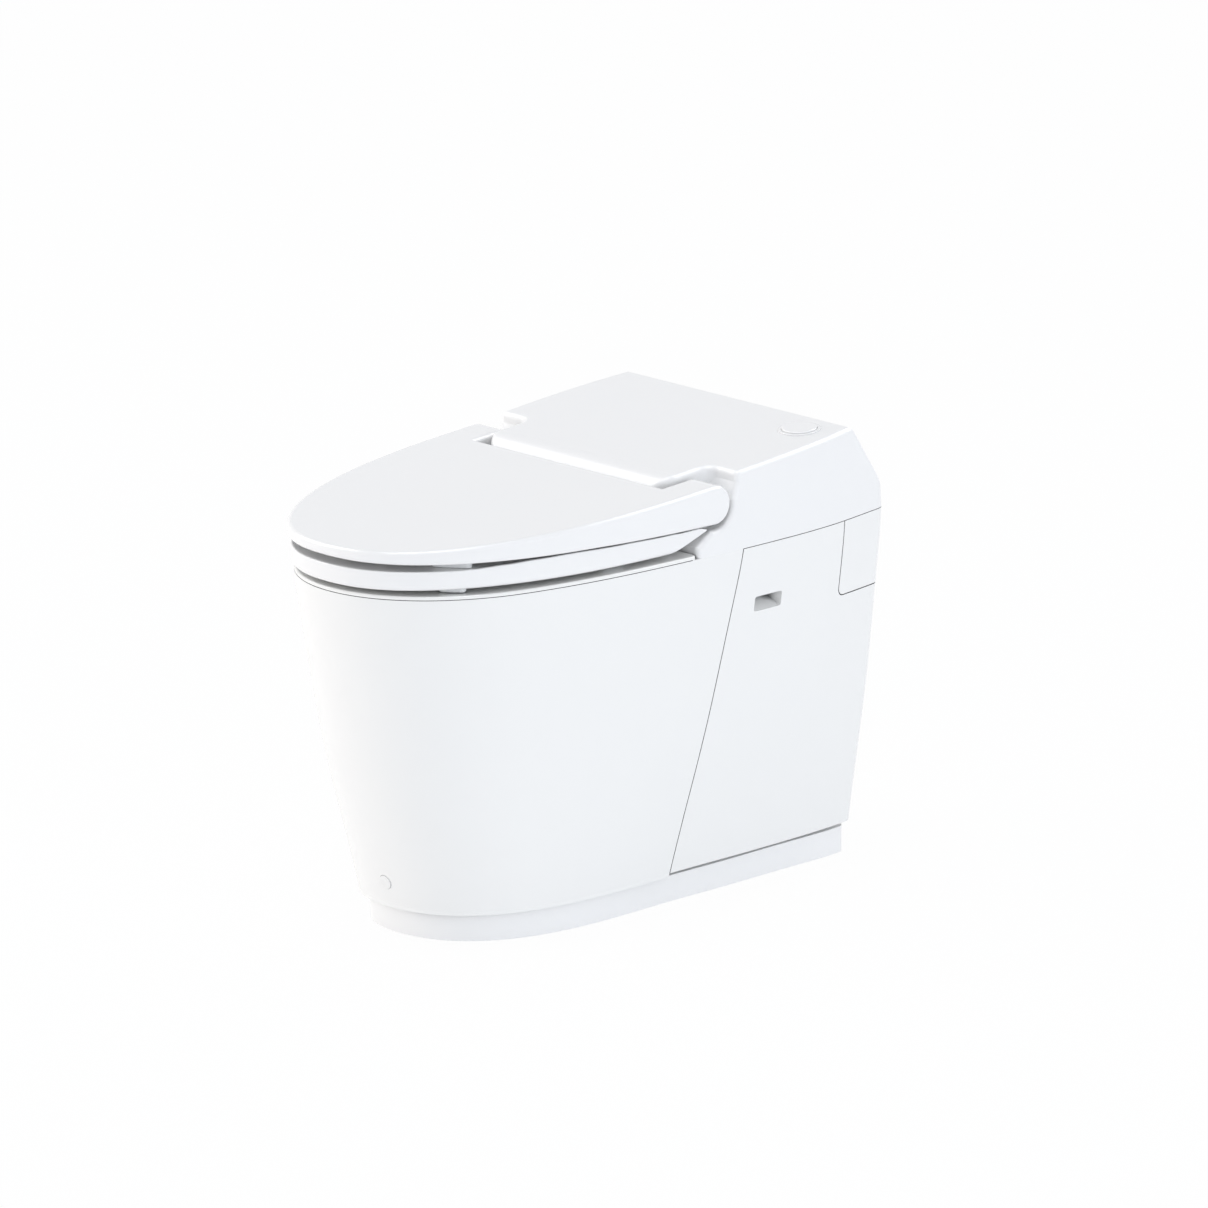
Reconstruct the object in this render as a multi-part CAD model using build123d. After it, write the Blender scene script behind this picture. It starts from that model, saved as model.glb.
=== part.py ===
from build123d import *
import math
import os

os.makedirs("parts", exist_ok=True)

# Macerating toilet, in millimetres. The front of the bowl points along -Y, the right side along +X, up along +Z.
# The origin lies on the floor, midway between the sides and midway between the lid's tip and the rear wall.

# Overall sizes
overall_length = 684.0
rim_height = 400.0
front_y = -overall_length / 2
rear_y = overall_length / 2

# Clearances and overruns shared by all pieces
cut_over = 5.0
seat_gap = 0.3
slip_gap = 0.05
panel_gap = 1.2

# Plan outlines of the body: a rounded nose, three stations along each side and rounded rear corners
rim_half_width = 189.7
rim_setback = 8.0
rim_nose_depth = 223.0
rim_corner = 22.0
foot_draw_in = 59.2
foot_half_width = rim_half_width - foot_draw_in
foot_setback = 96.7
foot_nose_depth = 180.1
foot_corner = 14.0
plinth_draw_in = 10.9
plinth_half_width = foot_half_width - plinth_draw_in
plinth_setback = 111.0
plinth_nose_depth = 167.2
plinth_corner = 13.0
plinth_rear_inset = 3.0
side_depth = 278.0
station_depth_shares = (1.0, 0.716, 0.3165)
nose_start_angle = math.radians(18)
nose_steps = 14


def plan_form(tip_y, half_width, nose_depth, corner, nose_share, side_shares, corner_share, power):
    return {"tip_y": tip_y, "nose_half": half_width * nose_share, "nose_depth": nose_depth, "power": power,
            "halves": tuple(half_width * share for share in side_shares),
            "corner_half": half_width * corner_share, "corner": corner}


rim_form = plan_form(front_y + rim_setback, rim_half_width, rim_nose_depth, rim_corner,
                     0.872, (0.988, 1.0, 0.977), 0.9225, 2.04)
foot_form = plan_form(front_y + foot_setback, foot_half_width, foot_nose_depth, foot_corner,
                      0.983, (1.0, 1.0, 0.981), 0.935, 2.28)
plinth_form = plan_form(front_y + plinth_setback, plinth_half_width, plinth_nose_depth, plinth_corner,
                        1.0, (1.0, 1.0, 0.978), 0.953, 2.24)

# Heights of the body and how far each level has drawn in towards the foot
plinth_height = 29.0
skirt_drop = 4.0
foot_height = 36.0
form_height_shares = (0.0, 0.1, 0.3, 0.5, 0.75, 0.92, 1.0)
form_blend_shares = (1.0, 0.885, 0.635, 0.41, 0.19, 0.045, 0.0)

# Walls and flanges of the body pieces
skirt_wall = 5.0
panel_wall = 4.0
rear_wall = 5.0
skirt_flange = 26.0
skirt_flange_thick = 8.0
foot_flange = 30.0
foot_flange_rear = 20.0
foot_flange_thick = 4.0

# Joint lines between skirt, side panels, corner covers and rear panel
split_top_setback = 239.0
split_foot_setback = 293.0
corner_cover_depth = 79.0
corner_cover_drop = 87.0
corner_cover_round = 9.0
rear_split_inset = 18.5
rear_split_x = foot_half_width - rear_split_inset
panel_top_gap = 0.8
split_top_y = rear_y - split_top_setback
split_foot_y = rear_y - split_foot_setback
corner_cover_y = rear_y - corner_cover_depth
corner_cover_z = rim_height - corner_cover_drop


def blend(first, second, share):
    mixed = {}
    for key, value in first.items():
        other = second[key]
        if isinstance(value, tuple):
            mixed[key] = tuple(a + (b - a) * share for a, b in zip(value, other))
        else:
            mixed[key] = value + (other - value) * share
    return mixed


def nose_curve(half, depth, tip_y, power):
    # points of a rounded nose from its right side round the tip to its left side
    points = []
    for step in range(nose_steps + 1):
        angle = nose_start_angle + (math.pi - 2 * nose_start_angle) * step / nose_steps
        sideways, ahead = math.cos(angle), math.sin(angle)
        x = half * math.copysign(abs(sideways) ** (2 / power), sideways)
        points.append((x, tip_y + depth - depth * ahead ** (2 / power)))
    return points


def outline(form, side_inset=0.0, rear_inset=0.0):
    corner = max(form["corner"] - side_inset, form["corner"] / 4)
    corner_x = form["corner_half"] - side_inset - corner
    corner_y = rear_y - rear_inset - corner
    right = [(corner_x + corner * math.sin(math.radians(a)), corner_y + corner * math.cos(math.radians(a)))
             for a in (0, 30, 60, 90)]
    for depth_share, side_half in zip(reversed(station_depth_shares), reversed(form["halves"])):
        right.append((side_half - side_inset, rear_y - side_depth * depth_share))
    nose = nose_curve(form["nose_half"] - side_inset, form["nose_depth"] - side_inset,
                      form["tip_y"] + side_inset, form["power"])
    left = [(-x, y) for x, y in reversed(right)]
    curve = Spline(*(right + nose + left), tangents=[(1, 0), (1, 0)], tangent_scalars=[1, 1])
    return make_face(Wire([curve, Line(curve @ 1, curve @ 0)]))


def form_share(height):
    # how far the body has drawn in towards the foot at a height
    share = (height - foot_height) / (rim_height - foot_height)
    steps = list(zip(form_height_shares, form_blend_shares))
    for (low, low_pull), (high, high_pull) in zip(steps, steps[1:]):
        if low <= share <= high:
            return low_pull + (high_pull - low_pull) * (share - low) / (high - low)
    return 0.0


def body_half(station, height):
    # half width of the body at a station and a height
    return blend(rim_form, foot_form, form_share(height))["halves"][station]


def body_form(side_inset=0.0, rear_inset=0.0):
    levels = []
    for height_share, blend_share in zip(form_height_shares, form_blend_shares):
        z = foot_height + (rim_height - foot_height) * height_share
        form = blend(rim_form, foot_form, blend_share)
        levels.append(Pos(0, 0, z) * outline(form, side_inset, rear_inset))
    return loft(levels)


def span_box(x, y, z):
    size = [high - low for low, high in (x, y, z)]
    middle = [(high + low) / 2 for low, high in (x, y, z)]
    return Pos(*middle) * Box(*size)


def upright(x, y, z, radius):
    return Pos(x, y, z[0]) * Cylinder(radius, z[1] - z[0], align=(Align.CENTER, Align.CENTER, Align.MIN))


def crosswise(x, y, z, radius):
    return Pos(x[0], y, z) * Rot(0, 90, 0) * Cylinder(radius, x[1] - x[0],
                                                      align=(Align.CENTER, Align.CENTER, Align.MIN))


def lengthwise(x, y, z, radius):
    return Pos(x, y[0], z) * Rot(-90, 0, 0) * Cylinder(radius, y[1] - y[0],
                                                       align=(Align.CENTER, Align.CENTER, Align.MIN))


def polygon(points):
    return make_face(Polyline(*points, close=True))


def plan_block(face, z):
    return extrude(Pos(0, 0, z[0]) * face, z[1] - z[0])


def side_block(face, x):
    # a face drawn in Y and Z, given depth along X
    return extrude(Plane.YZ.offset(x[0]) * face, x[1] - x[0])


def mirror_x(shape):
    return mirror(shape, about=Plane.YZ)


def save(name, *shapes):
    solids = [solid for shape in shapes for solid in shape.solids()]
    whole = solids[0] if len(solids) == 1 else Compound(children=solids)
    export_step(whole, f"parts/{name}.step")
    return solids

# Plinth: outer wall, ledge that carries the body, floor plate with fixing holes, and rubber pads under the plate
plinth_wall = 4.0
ledge_inset = 11.0
ledge_wall = 4.0
floor_plate_low = 6.0
floor_plate_thick = 4.0
floor_hole_radius = 4.5
floor_hole_x = 66.0
floor_hole_front_setback = 190.0
floor_hole_rear_setback = 62.0
pad_radius = 15.0
pad_x = 66.0
pad_front_setback = 235.0
pad_rear_setback = 34.0
plinth_inner = ledge_inset + ledge_wall
floor_top = floor_plate_low + floor_plate_thick
floor_holes = [(side * floor_hole_x, y) for side in (-1, 1)
               for y in (front_y + floor_hole_front_setback, rear_y - floor_hole_rear_setback)]
pads = [(side * pad_x, y) for side in (-1, 1) for y in (front_y + pad_front_setback, rear_y - pad_rear_setback)]


def plinth_face(inset):
    return outline(plinth_form, inset, plinth_rear_inset + inset)


def make_plinth():
    body = plan_block(plinth_face(0), (0, plinth_height))
    body += plan_block(plinth_face(ledge_inset), (0, foot_height - seat_gap))
    body -= plan_block(plinth_face(plinth_inner), (floor_top, foot_height + cut_over))
    body -= plan_block(plinth_face(plinth_inner), (-cut_over, floor_plate_low))
    groove = plinth_face(plinth_wall) - plinth_face(ledge_inset)
    body -= plan_block(groove, (-cut_over, plinth_height - plinth_wall))
    for x, y in floor_holes:
        body -= upright(x, y, (0, floor_top + cut_over), floor_hole_radius)
    return body


save("plinth", make_plinth())
save("rubber_feet", *[upright(x, y, (0, floor_plate_low), pad_radius) for x, y in pads])

# Body ring: the shell with its inward foot flange, cut into skirt, side panels, corner covers and rear panel
outer_form = body_form()
panel_core = body_form(panel_wall / 2, rear_wall / 2)
flange_inset = skirt_wall / 2


def body_ring(wall):
    ring = outer_form - body_form(wall, rear_wall)
    flange = outline(foot_form, flange_inset, flange_inset) - outline(foot_form, foot_flange, foot_flange_rear)
    return ring + plan_block(flange, (foot_height, foot_height + foot_flange_thick))


def split_y(z):
    slope = (split_top_y - split_foot_y) / (rim_height - foot_height)
    return split_foot_y + slope * (z - foot_height)


def split_block(ahead, gap):
    # everything ahead of or behind the slanted joint line
    low, high = foot_height - cut_over, rim_height + cut_over
    far_y = front_y - cut_over if ahead else rear_y + cut_over
    shift = -gap if ahead else gap
    points = [(far_y, low), (split_y(low) + shift, low), (split_y(high) + shift, high), (far_y, high)]
    reach = rim_half_width + cut_over
    return side_block(polygon(points), (-reach, reach))


# Front skirt with its round screw cap, the screw and the bracket behind it
cap_radius = 8.0
cap_height = 61.0
cap_recess = 4.0
cap_proud = 0.8
skirt_boss_radius = 12.0
skirt_boss_depth = 12.0
skirt_screw_radius = 2.5
skirt_screw_head_radius = 5.0
skirt_screw_head = 3.0
skirt_screw_length = 24.0
bracket_plate = 6.0
bracket_half = 20.0
bracket_setback = 136.0
bracket_height = 85.0
bracket_foot_depth = 32.0
bracket_boss_radius = 8.0


def nose_tip(z):
    return blend(rim_form, foot_form, form_share(z))["tip_y"]


cap_lean = (nose_tip(cap_height) - nose_tip(cap_height + cap_radius)) / cap_radius
cap_plane = Plane(origin=(0, nose_tip(cap_height), cap_height), x_dir=(1, 0, 0), z_dir=(0, -1, -cap_lean))


def along_cap(low, high, radius):
    # a rod on the cap's axis; positive distances stand out of the skirt
    rod = Cylinder(radius, high - low, align=(Align.CENTER, Align.CENTER, Align.MIN))
    return cap_plane.offset(low).location * rod


def make_skirt():
    skirt = body_ring(skirt_wall)
    rim = outline(rim_form, flange_inset, flange_inset) - outline(rim_form, skirt_flange, skirt_flange)
    skirt += plan_block(rim, (rim_height - skirt_flange_thick, rim_height))
    foot = outline(foot_form) - outline(foot_form, skirt_wall, skirt_wall)
    skirt += plan_block(foot, (foot_height - skirt_drop, foot_height))
    skirt += along_cap(-skirt_boss_depth, cut_over, skirt_boss_radius) & outer_form
    skirt -= along_cap(-cap_recess, cut_over, cap_radius + seat_gap)
    skirt -= along_cap(-skirt_boss_depth - cut_over, 0, skirt_screw_radius + seat_gap)
    skirt -= along_cap(-cap_recess - skirt_screw_head, 0, skirt_screw_head_radius + seat_gap)
    return skirt & split_block(True, panel_gap / 2)


def make_skirt_cap():
    cap = along_cap(-cap_recess, cap_proud, cap_radius)
    return fillet(cap.edges().sort_by(Axis.Y)[0], cap_proud / 2)


def make_skirt_screw():
    seat = -cap_recess - skirt_screw_head
    head = along_cap(seat, -cap_recess, skirt_screw_head_radius)
    return head + along_cap(seat - skirt_screw_length, seat, skirt_screw_radius)


def make_front_bracket():
    back_y = front_y + bracket_setback
    plate_y = back_y - bracket_plate
    leg = span_box((-bracket_half, bracket_half), (plate_y, back_y), (floor_top, bracket_height))
    foot = span_box((-bracket_half, bracket_half), (back_y, back_y + bracket_foot_depth),
                    (floor_top, floor_top + bracket_plate))
    boss = along_cap(-bracket_setback, -skirt_boss_depth - seat_gap, bracket_boss_radius)
    ahead = span_box((-bracket_half, bracket_half), (front_y, back_y), (floor_top, bracket_height + bracket_half))
    hole = along_cap(-bracket_setback, 0, skirt_screw_radius + slip_gap)
    return leg + foot + (boss & ahead) - hole


skirt = make_skirt()
save("skirt", skirt)
save("skirt_cap", make_skirt_cap())
save("skirt_screw", make_skirt_screw())
save("front_bracket", make_front_bracket())

# Deck over the rear compartment and the posts that carry it
deck_inset = 9.0
deck_thick = 8.0
deck_rear_inset = 5.5
deck_low = rim_height - deck_thick
post_radius = 6.0
post_inset = 38.5
post_x = foot_half_width - post_inset
post_rear_x = 40.0
post_front_back = 4.0
post_rear_setback = 38.0
post_screw_radius = 2.0
post_front_y = split_top_y + post_front_back
posts = [(side * x, y) for side in (-1, 1)
         for x, y in ((post_x, post_front_y), (post_rear_x, rear_y - post_rear_setback))]
cover_boss_radius = 6.0
cover_boss_inset = 41.7
cover_boss_x = rim_half_width - cover_boss_inset
cover_boss_front_setback = 205.0
cover_boss_rear_setback = 46.0
cover_screw_radius = 2.0
cover_screw_head_radius = 4.0
cover_screw_head = 2.5
cover_screw_length = 20.0
cover_bosses = [(side * cover_boss_x, y) for side in (-1, 1)
                for y in (rear_y - cover_boss_front_setback, rear_y - cover_boss_rear_setback)]
cable_slot_radius = 12.0
cable_slot_x = 0.0
cable_slot_setback = 40.0


def make_deck():
    deck = plan_block(outline(rim_form, deck_inset, deck_rear_inset), (deck_low, rim_height))
    behind = split_y(rim_height) + panel_gap / 2
    deck &= span_box((-rim_half_width, rim_half_width), (behind, rear_y), (deck_low, rim_height))
    through = (deck_low - cut_over, rim_height + cut_over)
    for x, y in cover_bosses:
        deck -= upright(x, y, through, cover_screw_radius + seat_gap)
    return deck - upright(cable_slot_x, rear_y - cable_slot_setback, through, cable_slot_radius)


save("deck", make_deck())
save("deck_posts", *[upright(x, y, (floor_top, deck_low), post_radius) for x, y in posts])
cover_screw_low = deck_low - cover_screw_head
save("cover_screws", *[upright(x, y, (cover_screw_low, deck_low), cover_screw_head_radius)
                       + upright(x, y, (deck_low, cover_screw_low + cover_screw_length), cover_screw_radius)
                       for x, y in cover_bosses])

# Side panels with finger recess and push-in studs, corner covers and rear panel
recess_setback = 194.5
recess_half_length = 20.5
recess_low = 323.0
recess_high = 340.0
recess_floor_rise = 8.0
recess_depth = 24.0
recess_round = 3.0
recess_wall = 3.0
stud_radius = 4.0
stud_length = 32.0
stud_top_drop = 20.0
stud_foot_rise = 16.0
stud_top_setbacks = (185.0, 110.0)
stud_foot_setbacks = (252.0, 52.0)
clip_wall = 6.0
clip_depth = 20.0
clip_top_inset = 41.7
clip_foot_inset = 60.5
clip_top_x = rim_half_width - clip_top_inset
clip_foot_x = foot_half_width - clip_foot_inset
tab_setback = 40.0
tab_length = 20.0
tab_inset = 31.7
tab_x = rim_half_width - tab_inset
recess_y = rear_y - recess_setback
recess_surface_x = body_half(1, recess_high)
stud_top_z = rim_height - stud_top_drop
stud_foot_z = foot_height + stud_foot_rise
studs = [(clip_top_x, rear_y - setback, stud_top_z) for setback in stud_top_setbacks]
studs += [(clip_foot_x, rear_y - setback, stud_foot_z) for setback in stud_foot_setbacks]
panel_ring = body_ring(panel_wall) & split_block(False, panel_gap / 2)
panel_top = rim_height - panel_top_gap


def corner_block(grow):
    # the rear corner's region, with its rounded lower front corner
    low_y, low_z = corner_cover_y - grow, corner_cover_z - grow
    high_y, high_z = rear_y + cut_over, rim_height + cut_over
    round_radius = corner_cover_round + grow
    face = Pos((low_y + high_y) / 2, (low_z + high_z) / 2) * Rectangle(high_y - low_y, high_z - low_z)
    corner = face.vertices().sort_by(lambda v: v.X + v.Y)[0]
    face = fillet(corner, round_radius)
    return side_block(face, (0, rim_half_width + cut_over))


def side_span(z):
    # the side's share of the ring, with the whole foot flange ahead of the rear panel's
    side = span_box((rear_split_x + panel_gap / 2, rim_half_width + cut_over), (front_y, rear_y + cut_over), z)
    return side + span_box((0, rear_split_x + cut_over), (front_y, rear_y - foot_flange_rear - panel_gap), z)


def make_side_panel():
    panel = panel_ring & side_span((0, panel_top))
    panel -= corner_block(panel_gap / 2)
    low_y, high_y = recess_y - recess_half_length, recess_y + recess_half_length
    floor_x = recess_surface_x - recess_depth
    cup = span_box((floor_x - recess_wall, rim_half_width), (low_y - recess_wall, high_y + recess_wall),
                   (recess_low - recess_wall, recess_high + recess_wall))
    panel += cup & panel_core
    for x, y, z in studs:
        panel += crosswise((x + seat_gap, rim_half_width), y, z, stud_radius) & panel_core
    pocket = polygon([(rim_half_width, recess_low), (rim_half_width, recess_high), (floor_x, recess_high),
                      (floor_x, recess_low + recess_floor_rise), (recess_surface_x - panel_wall, recess_low)])
    mouth = RectangleRounded(high_y - low_y, recess_high - recess_low, recess_round)
    mouth = Pos(recess_y, (recess_low + recess_high) / 2) * mouth
    pocket = Pos(0, high_y, 0) * extrude(Plane.XZ * pocket, high_y - low_y)
    return panel - (pocket & side_block(mouth, (0, rim_half_width + cut_over)))


def make_corner_cover():
    corner = panel_ring & side_span((0, panel_top)) & corner_block(-panel_gap / 2)
    tab_y = rear_y - tab_setback
    tab = span_box((tab_x, rim_half_width), (tab_y, tab_y + tab_length),
                   (deck_low - clip_wall, deck_low))
    return corner + (tab & panel_core)


right_panel = make_side_panel()
right_corner = make_corner_cover()
save("right_side_panel", right_panel)
save("left_side_panel", mirror_x(right_panel))
save("right_corner_cover", right_corner)
save("left_corner_cover", mirror_x(right_corner))


def make_clip(x, y, z, low, high):
    block = span_box((x, x + clip_depth), (y - stud_radius - clip_wall, y + stud_radius + clip_wall), (low, high))
    return block - crosswise((x - cut_over, x + clip_depth + cut_over), y, z, stud_radius + slip_gap)


clips = [make_clip(x, y, z, z - stud_radius - clip_wall, deck_low) for x, y, z in studs[:2]]
clips += [make_clip(x, y, z, floor_top, z + stud_radius + clip_wall) for x, y, z in studs[2:]]
save("panel_clips", *clips, *[mirror_x(clip) for clip in clips])

# Openings in the rear panel for the discharge pipe, the water inlet and the mains cable
discharge_x = 86.0
discharge_z = 160.0
discharge_radius = 16.0
discharge_opening = 30.0
supply_x = -80.0
supply_z = 300.0
supply_radius = 10.45
supply_opening = 24.0
gland_x = -78.0
gland_z = 110.0
gland_radius = 9.0
gland_flange_radius = 13.0
gland_flange = 3.0
gland_bore = 4.0
gland_length = 16.0


def make_rear_panel():
    middle = span_box((-rear_split_x + panel_gap / 2, rear_split_x - panel_gap / 2),
                      (rear_y - foot_flange_rear, rear_y + cut_over), (0, panel_top))
    panel = panel_ring & middle
    wall = (rear_y - foot_flange_rear, rear_y + cut_over)
    for x, z, radius in ((discharge_x, discharge_z, discharge_opening), (supply_x, supply_z, supply_opening),
                         (gland_x, gland_z, gland_radius + slip_gap)):
        panel -= lengthwise(x, wall, z, radius)
    return panel


def make_cable_gland():
    inner_y = rear_y - rear_wall
    body = lengthwise(gland_x, (rear_y - gland_length, rear_y), gland_z, gland_radius)
    body += lengthwise(gland_x, (inner_y - gland_flange, inner_y), gland_z, gland_flange_radius)
    return body - lengthwise(gland_x, (rear_y - gland_length - cut_over, rear_y + cut_over), gland_z, gland_bore)


save("rear_panel", make_rear_panel())
save("cable_gland", make_cable_gland())

# Hinge axis of lid and seat, which the cover's scoops follow
hinge_setback = 277.3
hinge_rise = 54.2
hinge_y = rear_y - hinge_setback
hinge_z = rim_height + hinge_rise
hinge_pin_radius = 5.0
hinge_pin_inner = 44.0
hinge_pin_inset = 8.7
hinge_pin_outer = rim_half_width - hinge_pin_inset

# Top cover: leaning sides, rounded front band, sloping top, rear chamfer and a scoop for each lid arm
cover_wall = 3.5
cover_lean = 10.7
cover_lean_height = 100.0
cover_front_radius = 37.5
cover_front_straight = 5.0
band_middle_ahead = 27.7
band_middle_rise = 21.6
band_back_ahead = 9.3
band_back_rise = 26.5
ridge_setback = 56.3
ridge_rise = 97.6
chamfer_drop = 84.6
scoop_radius = 28.0
scoop_side_inset = 52.7
scoop_side_x = rim_half_width - scoop_side_inset
scoop_front_ahead = 38.5
scoop_corner = 30.0
scoop_inner_corner = 14.0
scoop_rear_back = 36.6
scoop_rear_rise = 18.0
scoop_lip_ahead = 27.0
scoop_lip_rise = 12.0
scoop_reach = 45.0
cover_edge_round = 6.5
cover_flange = 16.0
cover_flange_thick = 3.0
cover_pin_hole = 7.0
ridge_y = rear_y - ridge_setback
ridge_z = rim_height + ridge_rise
band_back_y = hinge_y - band_back_ahead
band_back_z = hinge_z + band_back_rise
cover_slope = (ridge_z - band_back_z) / (ridge_y - band_back_y)
scoop_rear_y = hinge_y + scoop_rear_back


def cover_top(y):
    return band_back_z + cover_slope * (y - band_back_y)


def around_hinge(angle, radius):
    # a point in Y and Z, the angle counted from the rear upwards
    return (hinge_y + radius * math.cos(math.radians(angle)), hinge_z + radius * math.sin(math.radians(angle)))


def shrunk(face, amount):
    return offset(face, amount=-amount, kind=Kind.INTERSECTION) if amount else face


def cover_profile():
    low_z = rim_height - scoop_reach
    front = hinge_y - cover_front_radius
    straight = (front, hinge_z + cover_front_straight)
    band = (hinge_y - band_middle_ahead, hinge_z + band_middle_rise)
    back = (band_back_y, band_back_z)
    beyond = (cut_over + ridge_setback) / ridge_setback
    foot = (ridge_y + ridge_setback * beyond, ridge_z - chamfer_drop * beyond)
    edges = Polyline((foot[0], low_z), (front, low_z), straight)
    edges += ThreePointArc(straight, band, back)
    edges += Polyline(back, (ridge_y, ridge_z), foot, (foot[0], low_z))
    return make_face(edges)


def scoop_plan():
    far_x = rim_half_width + scoop_reach
    front = hinge_y - scoop_front_ahead
    face = polygon([(-far_x, front_y), (far_x, front_y), (far_x, scoop_rear_y), (scoop_side_x, scoop_rear_y),
                    (scoop_side_x, front), (-scoop_side_x, front), (-scoop_side_x, scoop_rear_y),
                    (-far_x, scoop_rear_y)])
    inner = face.vertices().filter_by(lambda v: abs(v.X) < scoop_side_x + cut_over)
    face = fillet(inner.filter_by(lambda v: v.Y < hinge_y), scoop_corner)
    inner = face.vertices().filter_by(lambda v: abs(abs(v.X) - scoop_side_x) < seat_gap)
    return fillet(inner.filter_by(lambda v: v.Y > scoop_rear_y - seat_gap), scoop_inner_corner)


def scoop_shelf():
    # the cover's side that is left below and behind a lid arm
    low_z, high_z = rim_height - scoop_reach, ridge_z + scoop_reach
    front, far_y = hinge_y - scoop_lip_ahead, scoop_rear_y + scoop_reach
    start, middle, end = (around_hinge(angle, scoop_radius) for angle in (-100, -45, 0))
    edges = Polyline((front, low_z), (front, rim_height + scoop_lip_rise), start)
    edges += ThreePointArc(start, middle, end)
    edges += Polyline(end, (scoop_rear_y, hinge_z + scoop_rear_rise), (scoop_rear_y, high_z), (far_y, high_z),
                      (far_y, low_z), (front, low_z))
    return make_face(edges)


def cover_space(inset):
    # the cover's outside at no inset, its inside at one wall
    low, high = (Pos(0, 0, z) * outline(rim_form, inset + lean, inset)
                 for z, lean in ((rim_height, 0), (rim_height + cover_lean_height, cover_lean)))
    space = loft([low, high]) & side_block(shrunk(cover_profile(), inset), (-rim_half_width, rim_half_width))
    plan = scoop_plan()
    if inset:
        plan = offset(plan, amount=inset)
    scoops = plan_block(plan, (rim_height - scoop_reach, ridge_z + scoop_reach))
    shelf = shrunk(scoop_shelf(), inset)
    inner_x = scoop_side_x - scoop_corner - scoop_inner_corner
    far_x = rim_half_width + scoop_reach + cut_over
    scoops -= side_block(shelf, (inner_x, far_x)) + side_block(shelf, (-far_x, -inner_x))
    return space - scoops

# Place of the flush button on the sloping top
button_inset = 59.1
button_x = rim_half_width - button_inset
button_setback = 95.0
collar_radius = 22.0
button_y = rear_y - button_setback
button_plane = Plane(origin=(button_x, button_y, cover_top(button_y)), x_dir=(1, 0, 0), z_dir=(0, -cover_slope, 1))


def rounded_edges(space):
    # edges where the cover's top and front band meet the rest, and the sides' outline along the scoops
    tops = [face for face in space.faces() if face.normal_at(face.center()).Z > 0.3
            and face.center().Z > hinge_z + scoop_corner / 3]
    edges = []
    for face in tops:
        others = [edge for other in tops if other is not face for edge in other.edges()]
        edges += [edge for edge in face.edges() if not any(edge.is_same(other) for other in others)]
    sides = [edge for edge in space.edges() if abs(edge.center().X) > scoop_side_x + scoop_corner
             and edge.center().Y < scoop_rear_y + seat_gap and edge.center().Z > rim_height + seat_gap]
    return edges + [edge for edge in sides if not any(edge.is_same(other) for other in edges)]


def make_cover():
    outside = cover_space(0)
    outside = fillet(rounded_edges(outside), cover_edge_round)
    cover = outside - cover_space(cover_wall)
    rim_ring = outline(rim_form, cover_wall / 2, cover_wall / 2) - outline(rim_form, cover_flange, cover_flange)
    flange = plan_block(rim_ring, (rim_height, rim_height + cover_flange_thick))
    cover += flange & span_box((-rim_half_width, rim_half_width), (hinge_y - scoop_lip_ahead + cover_wall, rear_y),
                               (rim_height, rim_height + cover_flange_thick))
    core = cover_space(cover_wall / 2)
    for x, y in cover_bosses:
        cover += upright(x, y, (rim_height, ridge_z), cover_boss_radius) & core
        cover -= upright(x, y, (rim_height, rim_height + cover_screw_length), cover_screw_radius + slip_gap)
    clear_half = tongue_half_width + panel_gap
    clear_z = (rim_height - cut_over, rim_top + seat_gap)
    cover -= span_box((-clear_half, clear_half), (front_y, scoop_rear_y), clear_z)
    cover -= span_box((-scoop_side_x, scoop_side_x), (front_y, rim_end_y + panel_gap), clear_z)
    cover -= crosswise((-rim_half_width, rim_half_width), hinge_y, hinge_z, cover_pin_hole)
    return cover - button_plane.location * Cylinder(collar_radius + slip_gap, cover_edge_round + cover_wall)


# Hinge: bracket on the bowl's rear deck, a pin to each side, and a soft-close damper on each pin
bracket_inset = 65.7
bracket_half_width = rim_half_width - bracket_inset
bracket_base = 4.0
bracket_ahead = 24.0
bracket_back = 26.0
bracket_tower = 12.0
bracket_tower_radius = 12.0
damper_radius = 11.0
damper_inner_x = 30.0
hinge_screw_radius = 3.0
hinge_screw_head_radius = 6.0
hinge_screw_head = 3.0
hinge_screw_length = 18.0
hinge_screw_inset = 28.0
hinge_screw_x = bracket_half_width - hinge_screw_inset
hinge_screw_back = 18.0
rim_thick = 4.5
rim_top = rim_height + rim_thick
bracket_top = rim_top + bracket_base
hinge_screws = [(side * hinge_screw_x, hinge_y + shift * hinge_screw_back) for side in (-1, 1) for shift in (-1, 1)]


def make_hinge_bracket():
    bracket = span_box((-bracket_half_width, bracket_half_width), (hinge_y - bracket_ahead, hinge_y + bracket_back),
                       (rim_top, bracket_top))
    for side in (-1, 1):
        tower = sorted((side * bracket_half_width, side * (bracket_half_width - bracket_tower)))
        bracket += span_box(tower, (hinge_y - bracket_tower_radius, hinge_y + bracket_tower_radius),
                            (rim_top, hinge_z))
        bracket += crosswise(tower, hinge_y, hinge_z, bracket_tower_radius)
    bracket -= crosswise((-rim_half_width, rim_half_width), hinge_y, hinge_z, hinge_pin_radius + slip_gap)
    for x, y in hinge_screws:
        bracket -= upright(x, y, (rim_height, rim_height + hinge_rise), hinge_screw_radius + seat_gap)
    return bracket


def make_hinge_screw(x, y):
    head = upright(x, y, (bracket_top, bracket_top + hinge_screw_head), hinge_screw_head_radius)
    return head + upright(x, y, (bracket_top - hinge_screw_length, bracket_top), hinge_screw_radius)


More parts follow.
